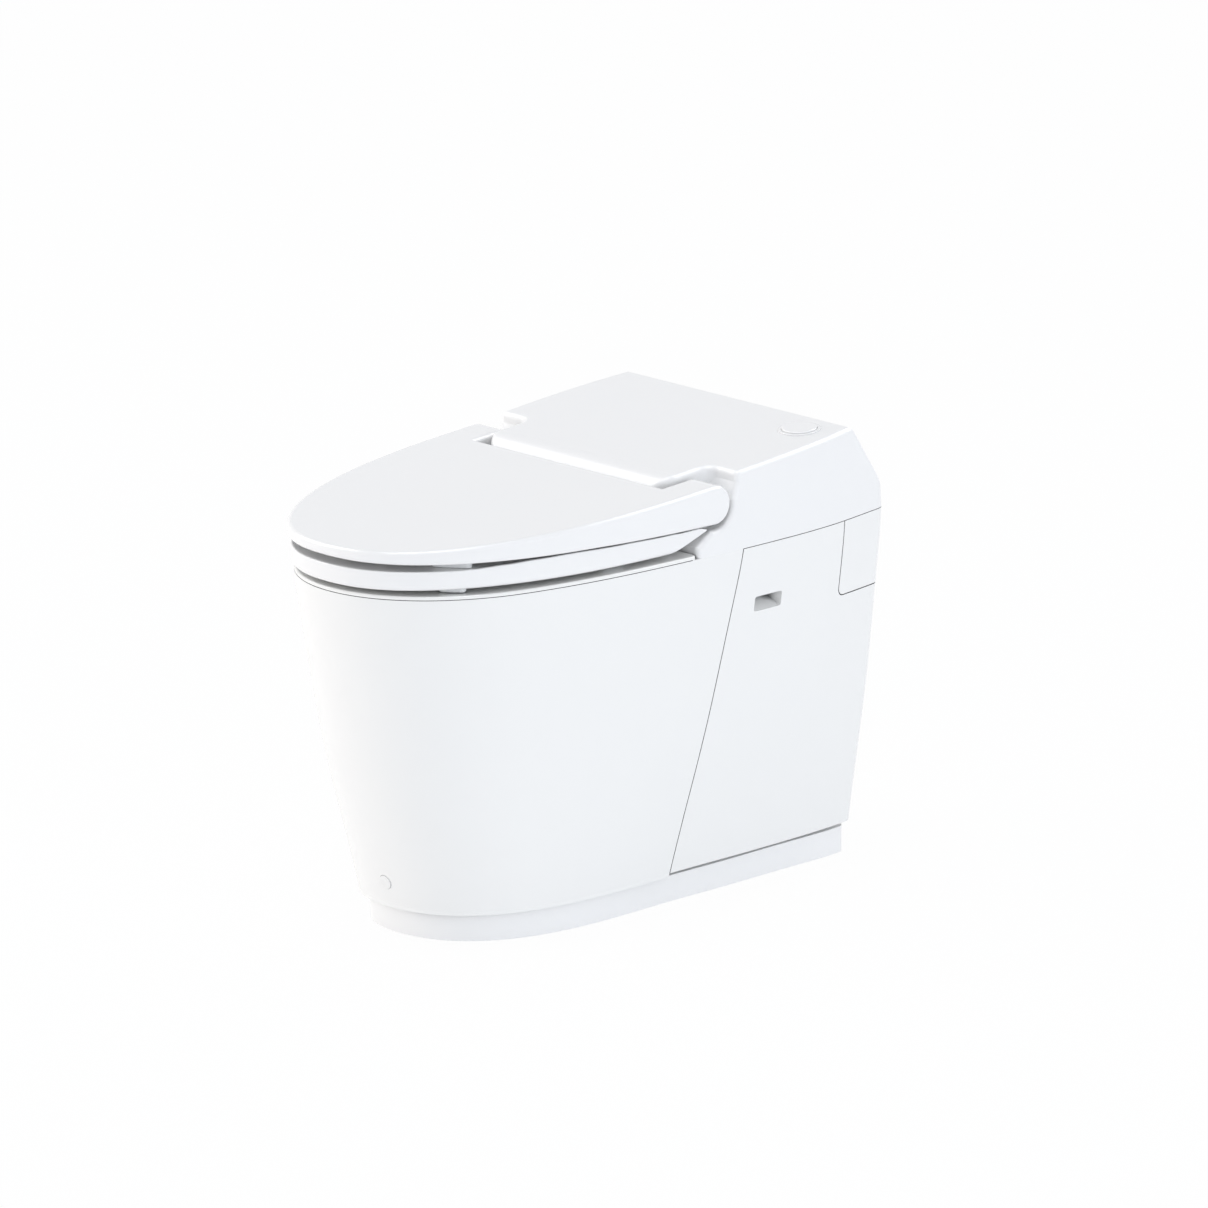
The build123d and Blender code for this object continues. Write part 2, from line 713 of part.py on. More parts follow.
pin = crosswise((hinge_pin_inner, hinge_pin_outer), hinge_y, hinge_z, hinge_pin_radius)
damper = crosswise((damper_inner_x, bracket_half_width - bracket_tower - seat_gap), hinge_y, hinge_z, damper_radius)
damper -= crosswise((hinge_pin_inner - seat_gap, rim_half_width), hinge_y, hinge_z, hinge_pin_radius + slip_gap)
save("hinge_bracket", make_hinge_bracket())
save("hinge_screws", *[make_hinge_screw(x, y) for x, y in hinge_screws])
save("hinge_pins", pin, mirror_x(pin))
save("seat_damper", damper)
save("lid_damper", mirror_x(damper))

# Lid: flat sloping top with a rounded edge, and two arms whose round ends turn on the hinge pins
lid_inset = 3.2
lid_half_width = rim_half_width - lid_inset
lid_nose_depth = 373.6
lid_power = 2.3
lid_wall = 3.5
lid_tip_low_rise = 41.0
lid_tip_high_rise = 53.5
lid_bottom_middle_rise = 37.6
lid_bottom_rear_rise = 33.6
lid_bottom_middle_ahead = 170.7
lid_end_radius = 21.7
lid_edge_round = 5.0
lid_notch_clear = 6.0
lid_notch_half = scoop_side_x + lid_notch_clear
lid_notch_ahead = 39.6
lid_boss_radius = 9.0
lid_boss_reach = 10.0
lug_clear = 7.0
lug_thick = 22.0
lug_x = (lid_notch_half + lug_clear, lid_notch_half + lug_clear + lug_thick)
lug_radius = 13.0
lid_tip_y = front_y
lid_notch_y = hinge_y - lid_notch_ahead
lid_low_z = rim_height + lid_tip_low_rise


def rounded_plan(half, depth, tip_y, power, end_y):
    # a nose outline that carries on straight to the rear
    points = [(half, tip_y + depth)] + nose_curve(half, depth, tip_y, power) + [(-half, tip_y + depth)]
    nose = Spline(*points, tangents=[(0, -1), (0, 1)], tangent_scalars=[1, 1])
    sides = Polyline(nose @ 1, (-half, end_y), (half, end_y), nose @ 0)
    return make_face(Wire([nose] + sides.edges()))


def lid_plan(inset):
    end_y = hinge_y + lid_end_radius + cut_over
    plan = rounded_plan(lid_half_width - inset, lid_nose_depth - inset, lid_tip_y + inset, lid_power, end_y)
    notch_y = lid_notch_y - inset
    notch = Pos(0, (notch_y + end_y + cut_over) / 2) * Rectangle(2 * (lid_notch_half + inset),
                                                                end_y + cut_over - notch_y)
    return plan - notch


def lid_outside():
    tip_y = lid_tip_y - cut_over
    low, side, high = (around_hinge(angle, lid_end_radius) for angle in (-90, 0, 90))
    tip_high = (tip_y, rim_height + lid_tip_high_rise)
    edges = Polyline(high, tip_high, (tip_y, lid_low_z), (hinge_y - lid_bottom_middle_ahead, rim_height
                     + lid_bottom_middle_rise), (lid_notch_y, rim_height + lid_bottom_rear_rise), low)
    edges += ThreePointArc(low, side, high)
    return make_face(edges)


def lid_hollow():
    tip_y = lid_tip_y - cut_over
    radius = lid_end_radius - lid_wall
    side, middle, high = (around_hinge(angle, radius) for angle in (0, 45, 90))
    far_y = hinge_y + lid_end_radius + 2 * cut_over
    low_z = rim_height
    edges = Polyline(high, (tip_y, rim_height + lid_tip_high_rise - lid_wall), (tip_y, low_z), (far_y, low_z),
                     (far_y, hinge_z), side)
    edges += ThreePointArc(side, middle, high)
    return make_face(edges)


def lid_space():
    reach = (-rim_half_width, rim_half_width)
    return plan_block(lid_plan(lid_wall), (rim_height, ridge_z)) & side_block(lid_hollow(), reach)


def make_lid():
    reach = (-rim_half_width, rim_half_width)
    lid = plan_block(lid_plan(0), (rim_height, ridge_z)) & side_block(lid_outside(), reach)
    top = lid.faces().sort_by(lambda face: face.center().Z)[-1]
    edges = [edge for edge in top.edges() if not (abs(edge.center().Y - hinge_y) < seat_gap)]
    lid = fillet(edges, lid_edge_round)
    lid -= lid_space()
    for side in (-1, 1):
        boss = sorted((side * (lid_half_width - lid_wall / 2), side * (lid_half_width - lid_boss_reach)))
        lid += crosswise(boss, hinge_y, hinge_z, lid_boss_radius)
    pin_end = hinge_pin_outer + seat_gap
    return lid - crosswise((-pin_end, pin_end), hinge_y, hinge_z, hinge_pin_radius + slip_gap)


# Seat ring, its lugs on the hinge pins and the rounded pads beneath
seat_inset = 3.5
seat_half_width = lid_half_width - seat_inset
seat_setback = 2.0
seat_nose_depth = 371.6
seat_power = 2.25
seat_low_rise = 10.8
seat_high_rise = 32.6
seat_edge_round = 6.5
seat_top_round = 1.5
seat_rear_ahead = 42.7
seat_side_rear_ahead = 12.7
seat_chamfer = 54.0
seat_chamfer_rise = 17.4
seat_end_drop = 10.0
seat_end_height = 1.5
seat_split_clear = 3.0
seat_split_x = scoop_side_x + seat_split_clear
seat_hole_half_width = 105.0
seat_hole_half_length = 135.0
seat_hole_setback = 202.0
seat_hole_round = 8.0
seat_hole_steps = 24
seat_hole_step = 360 / seat_hole_steps
lug_back_ahead = 24.0
lug_front_ahead = 50.0
lug_sink = 4.0
seat_low = rim_height + seat_low_rise
seat_high = rim_height + seat_high_rise
seat_hole_y = front_y + seat_hole_setback


def make_seat():
    plan = rounded_plan(seat_half_width, seat_nose_depth, front_y + seat_setback, seat_power, hinge_y)
    rear_y_side = hinge_y - seat_side_rear_ahead
    end_low = seat_low + seat_chamfer_rise
    profile = polygon([(front_y, seat_low), (rear_y_side - seat_chamfer, seat_low), (rear_y_side, end_low),
                       (rear_y_side, end_low + seat_end_height), (rear_y_side - seat_end_drop, seat_high),
                       (front_y, seat_high)])
    seat = plan_block(plan, (seat_low, seat_high)) & side_block(profile, (-seat_half_width, seat_half_width))
    seat -= span_box((-seat_split_x, seat_split_x), (hinge_y - seat_rear_ahead, rear_y), (rim_height, ridge_z))
    turns = [math.radians(seat_hole_step * step) for step in range(seat_hole_steps)]
    hole = make_face(Spline(*[(seat_hole_half_width * math.cos(turn), seat_hole_y
                               + seat_hole_half_length * math.sin(turn)) for turn in turns], periodic=True))
    seat -= plan_block(hole, (seat_low - cut_over, seat_high + cut_over))
    seat = fillet([edge for edge in seat.edges() if edge.is_closed], seat_hole_round)
    outer = [edge for edge in seat.edges() if edge.geom_type == GeomType.BSPLINE and edge.length > seat_nose_depth
             and edge.center().Y < front_y + seat_edge_round]
    seat = fillet([edge for edge in outer if edge.center().Z < seat_low + seat_edge_round], seat_edge_round)
    outer = [edge for edge in seat.edges() if edge.geom_type == GeomType.BSPLINE and edge.length > seat_nose_depth
             and edge.center().Z > seat_high - seat_gap and edge.center().Y < front_y + seat_edge_round]
    seat = fillet(outer, seat_top_round)
    for side in (-1, 1):
        span = sorted(side * x for x in lug_x)
        neck = polygon([(hinge_y - lug_front_ahead, seat_high - lug_sink), (hinge_y - lug_back_ahead, seat_high
                        - lug_sink), around_hinge(-50, lug_radius), around_hinge(130, lug_radius)])
        seat += side_block(neck, span)
        seat += crosswise(span, hinge_y, hinge_z, lug_radius)
    return seat - crosswise((-rim_half_width, rim_half_width), hinge_y, hinge_z, hinge_pin_radius + slip_gap)


# Pads: each lies along the edge above it
pad_width = 12.0
front_pad_x = 106.0
front_pad_setback = 87.0
front_pad_turn = 38.0
side_pad_x = 150.0
side_pad_setback = 282.0
side_pad_turn = 84.0
lid_pad_length = 43.0
seat_pad_length = 30.0


def pad(x, setback, turn, length, z):
    face = Pos(x, front_y + setback) * Rot(0, 0, turn) * SlotOverall(length, pad_width)
    return plan_block(face, z)


def make_lid_pad():
    return pad(front_pad_x, front_pad_setback, front_pad_turn, lid_pad_length, (seat_high + seat_gap, ridge_z))


def make_seat_pads():
    z = (rim_top + seat_gap, seat_low)
    front = pad(front_pad_x, front_pad_setback, front_pad_turn, seat_pad_length, z)
    side = pad(side_pad_x, side_pad_setback, side_pad_turn, seat_pad_length, z)
    return [fillet(shape.edges().group_by(Axis.Z)[0], pad_width / 4) for shape in (front, side)]


seat_pads = make_seat_pads()
lid_pad = make_lid_pad() & lid_space()
save("lid", make_lid())
save("lid_pads", lid_pad, mirror_x(lid_pad))
save("seat", make_seat())
save("seat_bumpers", *seat_pads, *[mirror_x(shape) for shape in seat_pads])


# Bowl: flat rim, oval basin, deck tongue for the hinge bracket and the upturned outlet horn
bowl_wall = 7.0
basin_levels = ((400.0, 122.0, 152.0, 200.0), (340.0, 116.0, 142.0, 203.0), (270.0, 92.0, 112.0, 214.0),
                (210.0, 62.0, 76.0, 230.0), (160.0, 42.0, 48.0, 244.0), (125.0, 34.0, 38.0, 250.0))
rim_end_y = hinge_y - scoop_lip_ahead - panel_gap
rim_corner = 8.0
rim_edge_round = 2.0
rim_shadow_gap = 0.8
rim_shadow_inset = 2.5
tongue_spare = 4.0
tongue_half_width = bracket_half_width + tongue_spare
tongue_end_y = 100.0
tongue_low_drop = 12.0
horn_bore = 30.0
horn_radius = 36.0
horn_start = ((-92.0, 154.0), (-47.0, 115.0), (2.0, 130.0), (32.0, 180.0), (62.0, 205.0))
horn_end_y = 106.0
horn_end_z = 205.0
nozzle_z = 374.0
nozzle_boss_radius = 14.0
nozzle_boss_y = (0.0, 24.0)
nozzle_radius = 9.0
nozzle_bore = 4.0
nozzle_start_y = 2.0
nozzle_end_y = 40.0
nozzle_collar = 3.0
barb_length = 12.0
hose_bore = 6.0
hose_radius = 8.0
hose_bend = 28.0
hose_points = ((0.0, 68.0, 374.0), (-56.0, 116.0, 366.0), (-94.0, 176.0, 340.0), (-80.0, 234.0, 300.0))


def basin(grow):
    faces = []
    for level, (z, half_x, half_y, setback) in enumerate(basin_levels):
        low = grow if level == len(basin_levels) - 1 else 0
        faces.append(Pos(0, front_y + setback, z - low) * Ellipse(half_x + grow, half_y + grow))
    return loft(faces)


def horn(radius, overrun):
    # straight runs between the bends, with a ball at each bend
    points = [Vector(0, y, z) for y, z in horn_start] + [Vector(0, horn_end_y, horn_end_z)]
    whole = Pos(*points[0]) * Sphere(radius)
    for first, second in zip(points, points[1:]):
        run = second - first
        rod = Cylinder(radius, run.length, align=(Align.CENTER, Align.CENTER, Align.MIN))
        whole += Plane(origin=first, z_dir=run).location * rod
        if second is not points[-1]:
            whole += Pos(*second) * Sphere(radius)
    if overrun:
        whole += lengthwise(0, (horn_end_y, horn_end_y + overrun), horn_end_z, radius)
    return whole


def make_bowl():
    rim = plan_block(outline(rim_form, 0, 0), (rim_height, rim_top))
    rim &= span_box((-rim_half_width, rim_half_width), (front_y, rim_end_y), (rim_height, rim_top))
    ends = [edge for edge in rim.edges() if abs(edge.center().Z - rim_top + rim_thick / 2) < seat_gap]
    rim = fillet(ends, rim_corner)
    rim = fillet(rim.edges().group_by(Axis.Z)[-1], rim_edge_round)
    around = span_box((-rim_half_width, rim_half_width), (front_y, rim_end_y - rim_corner),
                      (rim_height, rim_height + rim_shadow_gap))
    rim -= around - plan_block(outline(rim_form, rim_shadow_inset, 0), (rim_height, rim_height + rim_shadow_gap))
    tongue = span_box((-tongue_half_width, tongue_half_width), (rim_end_y - rim_corner, tongue_end_y),
                      (rim_height - tongue_low_drop, rim_top))
    mouth = Pos(0, front_y + basin_levels[0][3]) * Ellipse(*basin_levels[0][1:3])
    rim -= plan_block(mouth, (rim_height - cut_over, rim_top + cut_over))
    body = basin(bowl_wall) + horn(horn_radius, 0)
    body += lengthwise(0, nozzle_boss_y, nozzle_z, nozzle_boss_radius)
    body -= basin(0)
    body -= horn(horn_bore, cut_over)
    body += rim
    body += tongue
    body -= lengthwise(0, (-nozzle_end_y, nozzle_end_y), nozzle_z, nozzle_radius + slip_gap)
    for x, y in hinge_screws:
        body -= upright(x, y, (bracket_top - hinge_screw_length - seat_gap, bracket_top),
                        hinge_screw_radius + slip_gap)
    return body


def make_flush_nozzle():
    nozzle = lengthwise(0, (nozzle_start_y, nozzle_end_y), nozzle_z, nozzle_radius)
    nozzle += lengthwise(0, (nozzle_boss_y[1], nozzle_boss_y[1] + nozzle_collar), nozzle_z, nozzle_boss_radius)
    nozzle += lengthwise(0, (nozzle_end_y, nozzle_end_y + barb_length), nozzle_z, hose_bore - slip_gap)
    return nozzle - lengthwise(0, (-nozzle_end_y, nozzle_end_y * 2), nozzle_z, nozzle_bore)


save("bowl", make_bowl())
save("flush_nozzle", make_flush_nozzle())

# Inlet valve hung from the deck, its coil and plunger, and the hose to the flush nozzle
valve_half = 18.0
valve_y = (268.0, 312.0)
valve_half_height = 16.0
valve_strap = 6.0
valve_strap_tab = 24.0
valve_strap_y = (280.0, 300.0)
supply_reach = 1.0
supply_bore = 7.0
coil_radius = 15.0
coil_height = 36.0
coil_top_wall = 4.0
plunger_radius = 5.0
plunger_gap = 0.1
plunger_sink = 8.0
plunger_travel = 3.0
plunger_spare = 2.0
valve_top = supply_z + valve_half_height
coil_top = valve_top + coil_height
coil_y = (valve_strap_y[0] + valve_strap_y[1]) / 2


def make_solenoid_valve():
    z = (supply_z - valve_half_height, valve_top)
    valve = span_box((supply_x - valve_half, supply_x + valve_half), valve_y, z)
    valve += lengthwise(supply_x, (valve_y[1], rear_y - supply_reach), supply_z, supply_radius)
    valve += lengthwise(supply_x, (valve_y[0] - barb_length, valve_y[0]), supply_z, hose_bore - slip_gap)
    strap_x = supply_x - valve_half
    valve += span_box((strap_x - valve_strap, strap_x), valve_strap_y, (z[0], deck_low))
    valve += span_box((strap_x - valve_strap, strap_x + valve_strap_tab), valve_strap_y,
                      (deck_low - valve_strap, deck_low))
    valve -= lengthwise(supply_x, (valve_y[1] - valve_half, rear_y), supply_z, supply_bore)
    valve -= lengthwise(supply_x, (valve_y[0] - barb_length - cut_over, valve_y[0] + valve_half), supply_z,
                        nozzle_bore)
    return valve - upright(supply_x, coil_y, (valve_top - plunger_sink, valve_top + cut_over),
                           plunger_radius + plunger_gap)


def make_feed_hose():
    points = [(0, nozzle_end_y, nozzle_z), *hose_points, (supply_x, valve_y[0], supply_z)]
    path = FilletPolyline(*points, radius=hose_bend)
    start = Plane(origin=points[0], z_dir=(0, 1, 0))
    return sweep(start * (Circle(hose_radius) - Circle(hose_bore)), path)


coil = upright(supply_x, coil_y, (valve_top, coil_top), coil_radius)
coil -= upright(supply_x, coil_y, (valve_top - cut_over, coil_top - coil_top_wall), plunger_radius + plunger_gap)
plunger_top = coil_top - coil_top_wall - plunger_travel - plunger_spare
plunger_low = valve_top - plunger_sink + seat_gap
save("solenoid_valve", make_solenoid_valve())
save("feed_hose", make_feed_hose())
save("solenoid_coil", coil)
save("solenoid_plunger", upright(supply_x, coil_y, (plunger_low, plunger_top), plunger_radius))

# Flush button in its collar; its stem reaches down to the switch on the control box
button_radius = 19.5
button_raise = 3.0
button_thick = 6.0
button_skirt = 3.0
button_skirt_wall = 2.0
button_round = 1.5
stem_radius = 4.0
stem_length = 25.0
collar_bore = 19.8
collar_flange_radius = 23.5
collar_flange = 1.2
collar_depth = 14.0
collar_floor = 2.0


def button_disc(low, high, radius):
    rod = Cylinder(radius, high - low, align=(Align.CENTER, Align.CENTER, Align.MIN))
    return button_plane.offset(low).location * rod


def make_flush_button():
    button = button_disc(button_raise - button_thick - button_skirt, button_raise, button_radius)
    button = fillet(button.edges().sort_by(Axis.Z)[-1], button_round)
    low = button_raise - button_thick
    button -= button_disc(low - button_skirt - cut_over, low, button_radius - button_skirt_wall)
    return button + button_disc(-stem_length, low + button_raise, stem_radius)


def make_button_collar():
    collar = button_disc(0, collar_flange, collar_flange_radius)
    collar = fillet(collar.edges().sort_by(Axis.Z)[-1], collar_flange / 2)
    collar += button_disc(-collar_depth, 0, collar_radius)
    collar -= button_disc(-collar_depth + collar_floor, cut_over, collar_bore)
    return collar - button_disc(-collar_depth - cut_over, cut_over, stem_radius + slip_gap)


save("flush_button", make_flush_button())
save("button_collar", make_button_collar())

# Control box on the deck with its lid, circuit board and switch
box_inset = 24.7
box_width = 81.0
box_x = (rim_half_width - box_inset - box_width, rim_half_width - box_inset)
box_y = (200.0, 284.0)
box_height = 50.0
box_wall = 2.5
board_rise = 8.0
board_thick = 1.6
board_margin = 4.0
standoff_radius = 3.0
switch_size = 13.0
switch_height = 12.0
nib_radius = 2.0
nib_gap = 0.5
button_travel = 4.0


def inside(span, amount):
    return span[0] + amount, span[1] - amount


def make_control_box():
    top = rim_height + box_height
    box = span_box(box_x, box_y, (rim_height, top))
    box -= span_box(inside(box_x, box_wall), inside(box_y, box_wall), (rim_height + box_wall, top + cut_over))
    for x in inside(box_x, box_wall + board_margin + standoff_radius):
        for y in inside(box_y, box_wall + board_margin + standoff_radius):
            box += upright(x, y, (rim_height + box_wall, rim_height + board_rise), standoff_radius)
    return box


board_z = (rim_height + board_rise, rim_height + board_rise + board_thick)
control_lid_z = (rim_height + box_height, rim_height + box_height + box_wall)
stem_foot = button_plane.origin - button_plane.z_dir * stem_length
switch_x = (stem_foot.X - switch_size / 2, stem_foot.X + switch_size / 2)
switch_y = (stem_foot.Y - switch_size / 2, stem_foot.Y + switch_size / 2)
nib_top = stem_foot.Z - nib_gap - button_travel
switch = span_box(switch_x, switch_y, (control_lid_z[1], control_lid_z[1] + switch_height))
switch += upright(stem_foot.X, stem_foot.Y, (control_lid_z[1], nib_top), nib_radius)
save("control_box", make_control_box())
save("control_lid", span_box(box_x, box_y, control_lid_z))
save("circuit_board", span_box(inside(box_x, box_wall + board_margin), inside(box_y, box_wall + board_margin), board_z))
save("button_switch", switch)
save("cover", make_cover())

# Waste tank on rubber mounts, its screwed lid and the rubber sleeve to the bowl's horn
tank_x = (-108.0, 60.0)
tank_y = (124.0, 268.0)
tank_z = (42.0, 250.0)
tank_wall = 4.0
tank_flange = 8.0
tank_flange_thick = 4.0
leg_radius = 8.0
leg_low = 20.0
leg_inset = 18.0
mount_radius = 10.0
spigot_start_y = 112.0
sleeve_y = (90.0, 122.0)
sleeve_wall = 4.0
lid_thick = 6.0
tank_screw_radius = 2.0
tank_screw_head_radius = 3.5
tank_screw_head = 3.0
tank_screw_drop = 8.0
tank_mid_x = (tank_x[0] + tank_x[1]) / 2
tank_mid_y = (tank_y[0] + tank_y[1]) / 2
flange_x = inside(tank_x, -tank_flange)
flange_y = inside(tank_y, -tank_flange)
tank_lid_z = (tank_z[1], tank_z[1] + lid_thick)
tank_floor = tank_z[0] + tank_wall
legs = [(x, y) for x in inside(tank_x, leg_inset) for y in inside(tank_y, leg_inset)]
screw_rows = [(x, y) for x in (*inside(flange_x, tank_flange / 2), tank_mid_x)
              for y in (*inside(flange_y, tank_flange / 2), tank_mid_y)]
tank_screws = [(x, y) for x, y in screw_rows if (x, y) != (tank_mid_x, tank_mid_y)]

# Macerator pump in the tank, under the motor that stands on the tank lid
motor_x = -30.0
motor_y = 200.0
pump_radius = 58.0
pump_wall = 4.0
pump_height = 22.0
pump_plate = 3.0
intake_radius = 16.0
outlet_rise = 12.5
outlet_radius = 12.0
outlet_bore = 8.5
outlet_end_x = 68.0
basket_radius = 52.0
basket_wall = 2.0
basket_height = 121.0
slot_count = 24
slot_width = 5.0
slot_low_rise = 10.0
slot_high_rise = 90.0
impeller_radius = 34.0
impeller_rise = 4.0
impeller_plate = 3.0
impeller_height = 12.0
impeller_hub = 10.0
vane_count = 4
vane_thick = 3.0
cutter_radius = 44.0
cutter_rise = 34.0
cutter_thick = 3.0
cutter_hub_height = 12.0
cutter_hole_radius = 6.0
cutter_hole_ring = 30.0
cutter_hole_count = 8
blade_size = 8.0
shaft_radius = 5.0
shaft_reach = 4.0
motor_radius = 44.0
motor_wall = 2.5
motor_height = 94.0
motor_floor = 4.0
motor_cap_thick = 6.0
bearing_radius = 13.0
bearing_height = 8.0
bearing_cup = 4.0
stator_inset = 0.1
stator_bore = 24.0
stator_rise = 14.0
stator_height = 60.0
rotor_radius = 23.5
rotor_inset = 2.0
seal_radius = 12.0
pump_top = tank_floor + pump_height + pump_plate
motor_low = tank_lid_z[1]
motor_high = motor_low + motor_height


def on_motor(z, radius):
    return upright(motor_x, motor_y, z, radius)


def make_tank():
    tank = span_box(tank_x, tank_y, tank_z)
    tank += span_box(flange_x, flange_y, (tank_z[1] - tank_flange_thick, tank_z[1]))
    tank -= span_box(inside(tank_x, tank_wall), inside(tank_y, tank_wall), (tank_floor, tank_z[1] + cut_over))
    for x, y in legs:
        tank += upright(x, y, (leg_low, tank_z[0]), leg_radius)
    for x, y in tank_screws:
        tank -= upright(x, y, tank_z, tank_screw_radius + slip_gap)
    tank += lengthwise(0, (spigot_start_y, tank_y[0]), horn_end_z, horn_radius)
    tank -= lengthwise(0, (spigot_start_y - cut_over, tank_y[0] + tank_wall), horn_end_z, horn_bore)
    outlet = crosswise((motor_x, tank_x[1] + cut_over), outlet_y, outlet_z, outlet_radius + slip_gap)
    return tank - outlet


def make_tank_lid():
    lid = span_box(flange_x, flange_y, tank_lid_z)
    for x, y in tank_screws:
        lid -= upright(x, y, inside(tank_lid_z, -cut_over), tank_screw_radius + slip_gap)
    lid -= on_motor(inside(tank_lid_z, -cut_over), seal_radius + slip_gap)
    return lid - upright(tube_x, tube_y, inside(tank_lid_z, -cut_over), tube_bore)


def make_tank_screw(x, y):
    head = upright(x, y, (tank_lid_z[1], tank_lid_z[1] + tank_screw_head), tank_screw_head_radius)
    return head + upright(x, y, (tank_z[1] - tank_screw_drop, tank_lid_z[1]), tank_screw_radius)


def make_pump_housing():
    wall_top = tank_floor + pump_height
    outlet_x = (motor_x, outlet_end_x)
    pump = on_motor((tank_floor, pump_top), pump_radius)
    pump += crosswise(outlet_x, outlet_y, outlet_z, outlet_radius)
    pump -= on_motor((tank_floor + impeller_plate, wall_top), pump_radius - pump_wall)
    pump -= on_motor((tank_floor + impeller_plate, pump_top + cut_over), intake_radius)
    return pump - crosswise((motor_x, outlet_end_x + cut_over), outlet_y, outlet_z, outlet_bore)


def make_basket():
    basket = on_motor((pump_top, pump_top + basket_height), basket_radius)
    basket -= on_motor((pump_top - cut_over, pump_top + basket_height + cut_over), basket_radius - basket_wall)
    slot = span_box((0, basket_radius + cut_over), (-slot_width / 2, slot_width / 2),
                    (pump_top + slot_low_rise, pump_top + slot_high_rise))
    for turn in range(slot_count):
        basket -= Pos(motor_x, motor_y) * Rot(0, 0, 360 / slot_count * turn) * slot
    return basket


def make_impeller():
    low = tank_floor + impeller_plate + impeller_rise / 2
    impeller = on_motor((low, low + impeller_plate), impeller_radius) + on_motor((low, low + impeller_height),
                                                                               impeller_hub)
    vane = span_box((impeller_hub - vane_thick, impeller_radius), (-vane_thick / 2, vane_thick / 2),
                    (low, low + impeller_height))
    for turn in range(vane_count):
        impeller += Pos(motor_x, motor_y) * Rot(0, 0, 360 / vane_count * turn) * vane
    return impeller - on_motor((low - cut_over, low + pump_radius), shaft_radius + slip_gap)


def make_cutter_disc():
    low = pump_top + cutter_rise
    disc = on_motor((low, low + cutter_thick), cutter_radius)
    disc += on_motor((low, low + cutter_hub_height), impeller_hub)
    blade = span_box((cutter_radius - blade_size * 2, cutter_radius - slip_gap), (-blade_size / 2, blade_size / 2),
                     (low, low + cutter_thick + blade_size))
    for turn in range(2):
        disc += Pos(motor_x, motor_y) * Rot(0, 0, 180 * turn) * blade
    hole = upright(cutter_hole_ring, 0, (low - cut_over, low + cutter_thick + cut_over), cutter_hole_radius)
    for turn in range(cutter_hole_count):
        if turn % (cutter_hole_count / 2):
            disc -= Pos(motor_x, motor_y) * Rot(0, 0, 360 / cutter_hole_count * turn) * hole
    return disc - on_motor((low - cut_over, low + basket_height), shaft_radius + slip_gap)


def make_motor_housing():
    housing = on_motor((motor_low, motor_high), motor_radius)
    housing -= on_motor((motor_low + motor_floor, motor_high + cut_over), motor_radius - motor_wall)
    cup = (motor_low, motor_low + motor_floor + bearing_height)
    housing += on_motor(cup, bearing_radius + bearing_cup)
    housing -= on_motor((motor_low + motor_floor, cup[1] + cut_over), bearing_radius + slip_gap)
    return housing - on_motor((motor_low - cut_over, cup[1]), shaft_radius + impeller_plate)


def make_motor_cap():
    cap = on_motor((motor_high, motor_high + motor_cap_thick), motor_radius)
    cap += on_motor((motor_high - bearing_height, motor_high), bearing_radius + bearing_cup)
    return cap - on_motor((motor_high - bearing_height - cut_over, motor_high), bearing_radius + slip_gap)


def ring(z, radius, bore):
    return on_motor(z, radius) - on_motor(inside(z, -cut_over), bore)


# Level sensing tube with its pressure switch, in the tank's front corner
tube_x = 36.0
tube_y = 146.0
tube_radius = 14.0
tube_bore = 11.0
tube_rise = 18.0
switch_housing_radius = 22.0
switch_housing_height = 26.0
terminal_radius = 8.0
terminal_height = 12.0

outlet_y = motor_y + pump_radius - outlet_radius
outlet_z = tank_floor + outlet_rise
sleeve_bore = horn_radius
lower_bearing = (motor_low + motor_floor, motor_low + motor_floor + bearing_height)
upper_bearing = (motor_high - bearing_height, motor_high)
stator_z = (motor_low + stator_rise, motor_low + stator_rise + stator_height)
shaft_z = (tank_floor + impeller_plate + impeller_rise / 2, motor_high - seat_gap)
bearing_bore = shaft_radius + slip_gap
sleeve = lengthwise(0, sleeve_y, horn_end_z, horn_radius + sleeve_wall)
sleeve -= lengthwise(0, inside(sleeve_y, -cut_over), horn_end_z, sleeve_bore + slip_gap)
tube = upright(tube_x, tube_y, (tank_floor + tube_rise, tank_z[1]), tube_radius)
tube -= upright(tube_x, tube_y, (tank_floor, tank_z[1] + cut_over), tube_bore)
level_switch = upright(tube_x, tube_y, (motor_low, motor_low + switch_housing_height), switch_housing_radius)
level_switch += upright(tube_x, tube_y, (motor_low, motor_low + switch_housing_height + terminal_height),
                        terminal_radius)
save("tank", make_tank())
save("tank_mounts", *[upright(x, y, (floor_top, leg_low), mount_radius) for x, y in legs])
save("tank_lid", make_tank_lid())
save("tank_screws", *[make_tank_screw(x, y) for x, y in tank_screws])
save("inlet_sleeve", sleeve)
save("pump_housing", make_pump_housing())
save("basket", make_basket())
save("impeller", make_impeller())
save("cutter_disc", make_cutter_disc())
save("motor_shaft", on_motor(shaft_z, shaft_radius))
save("motor_housing", make_motor_housing())
save("motor_cap", make_motor_cap())
save("stator", ring(stator_z, motor_radius - motor_wall - stator_inset, stator_bore))
save("rotor", ring(inside(stator_z, rotor_inset), rotor_radius, shaft_radius + slip_gap))
save("bearings", ring(lower_bearing, bearing_radius, bearing_bore), ring(upper_bearing, bearing_radius, bearing_bore))
save("shaft_seal", ring(tank_lid_z, seal_radius, bearing_bore))
save("pressure_tube", tube)
save("level_switch", level_switch)

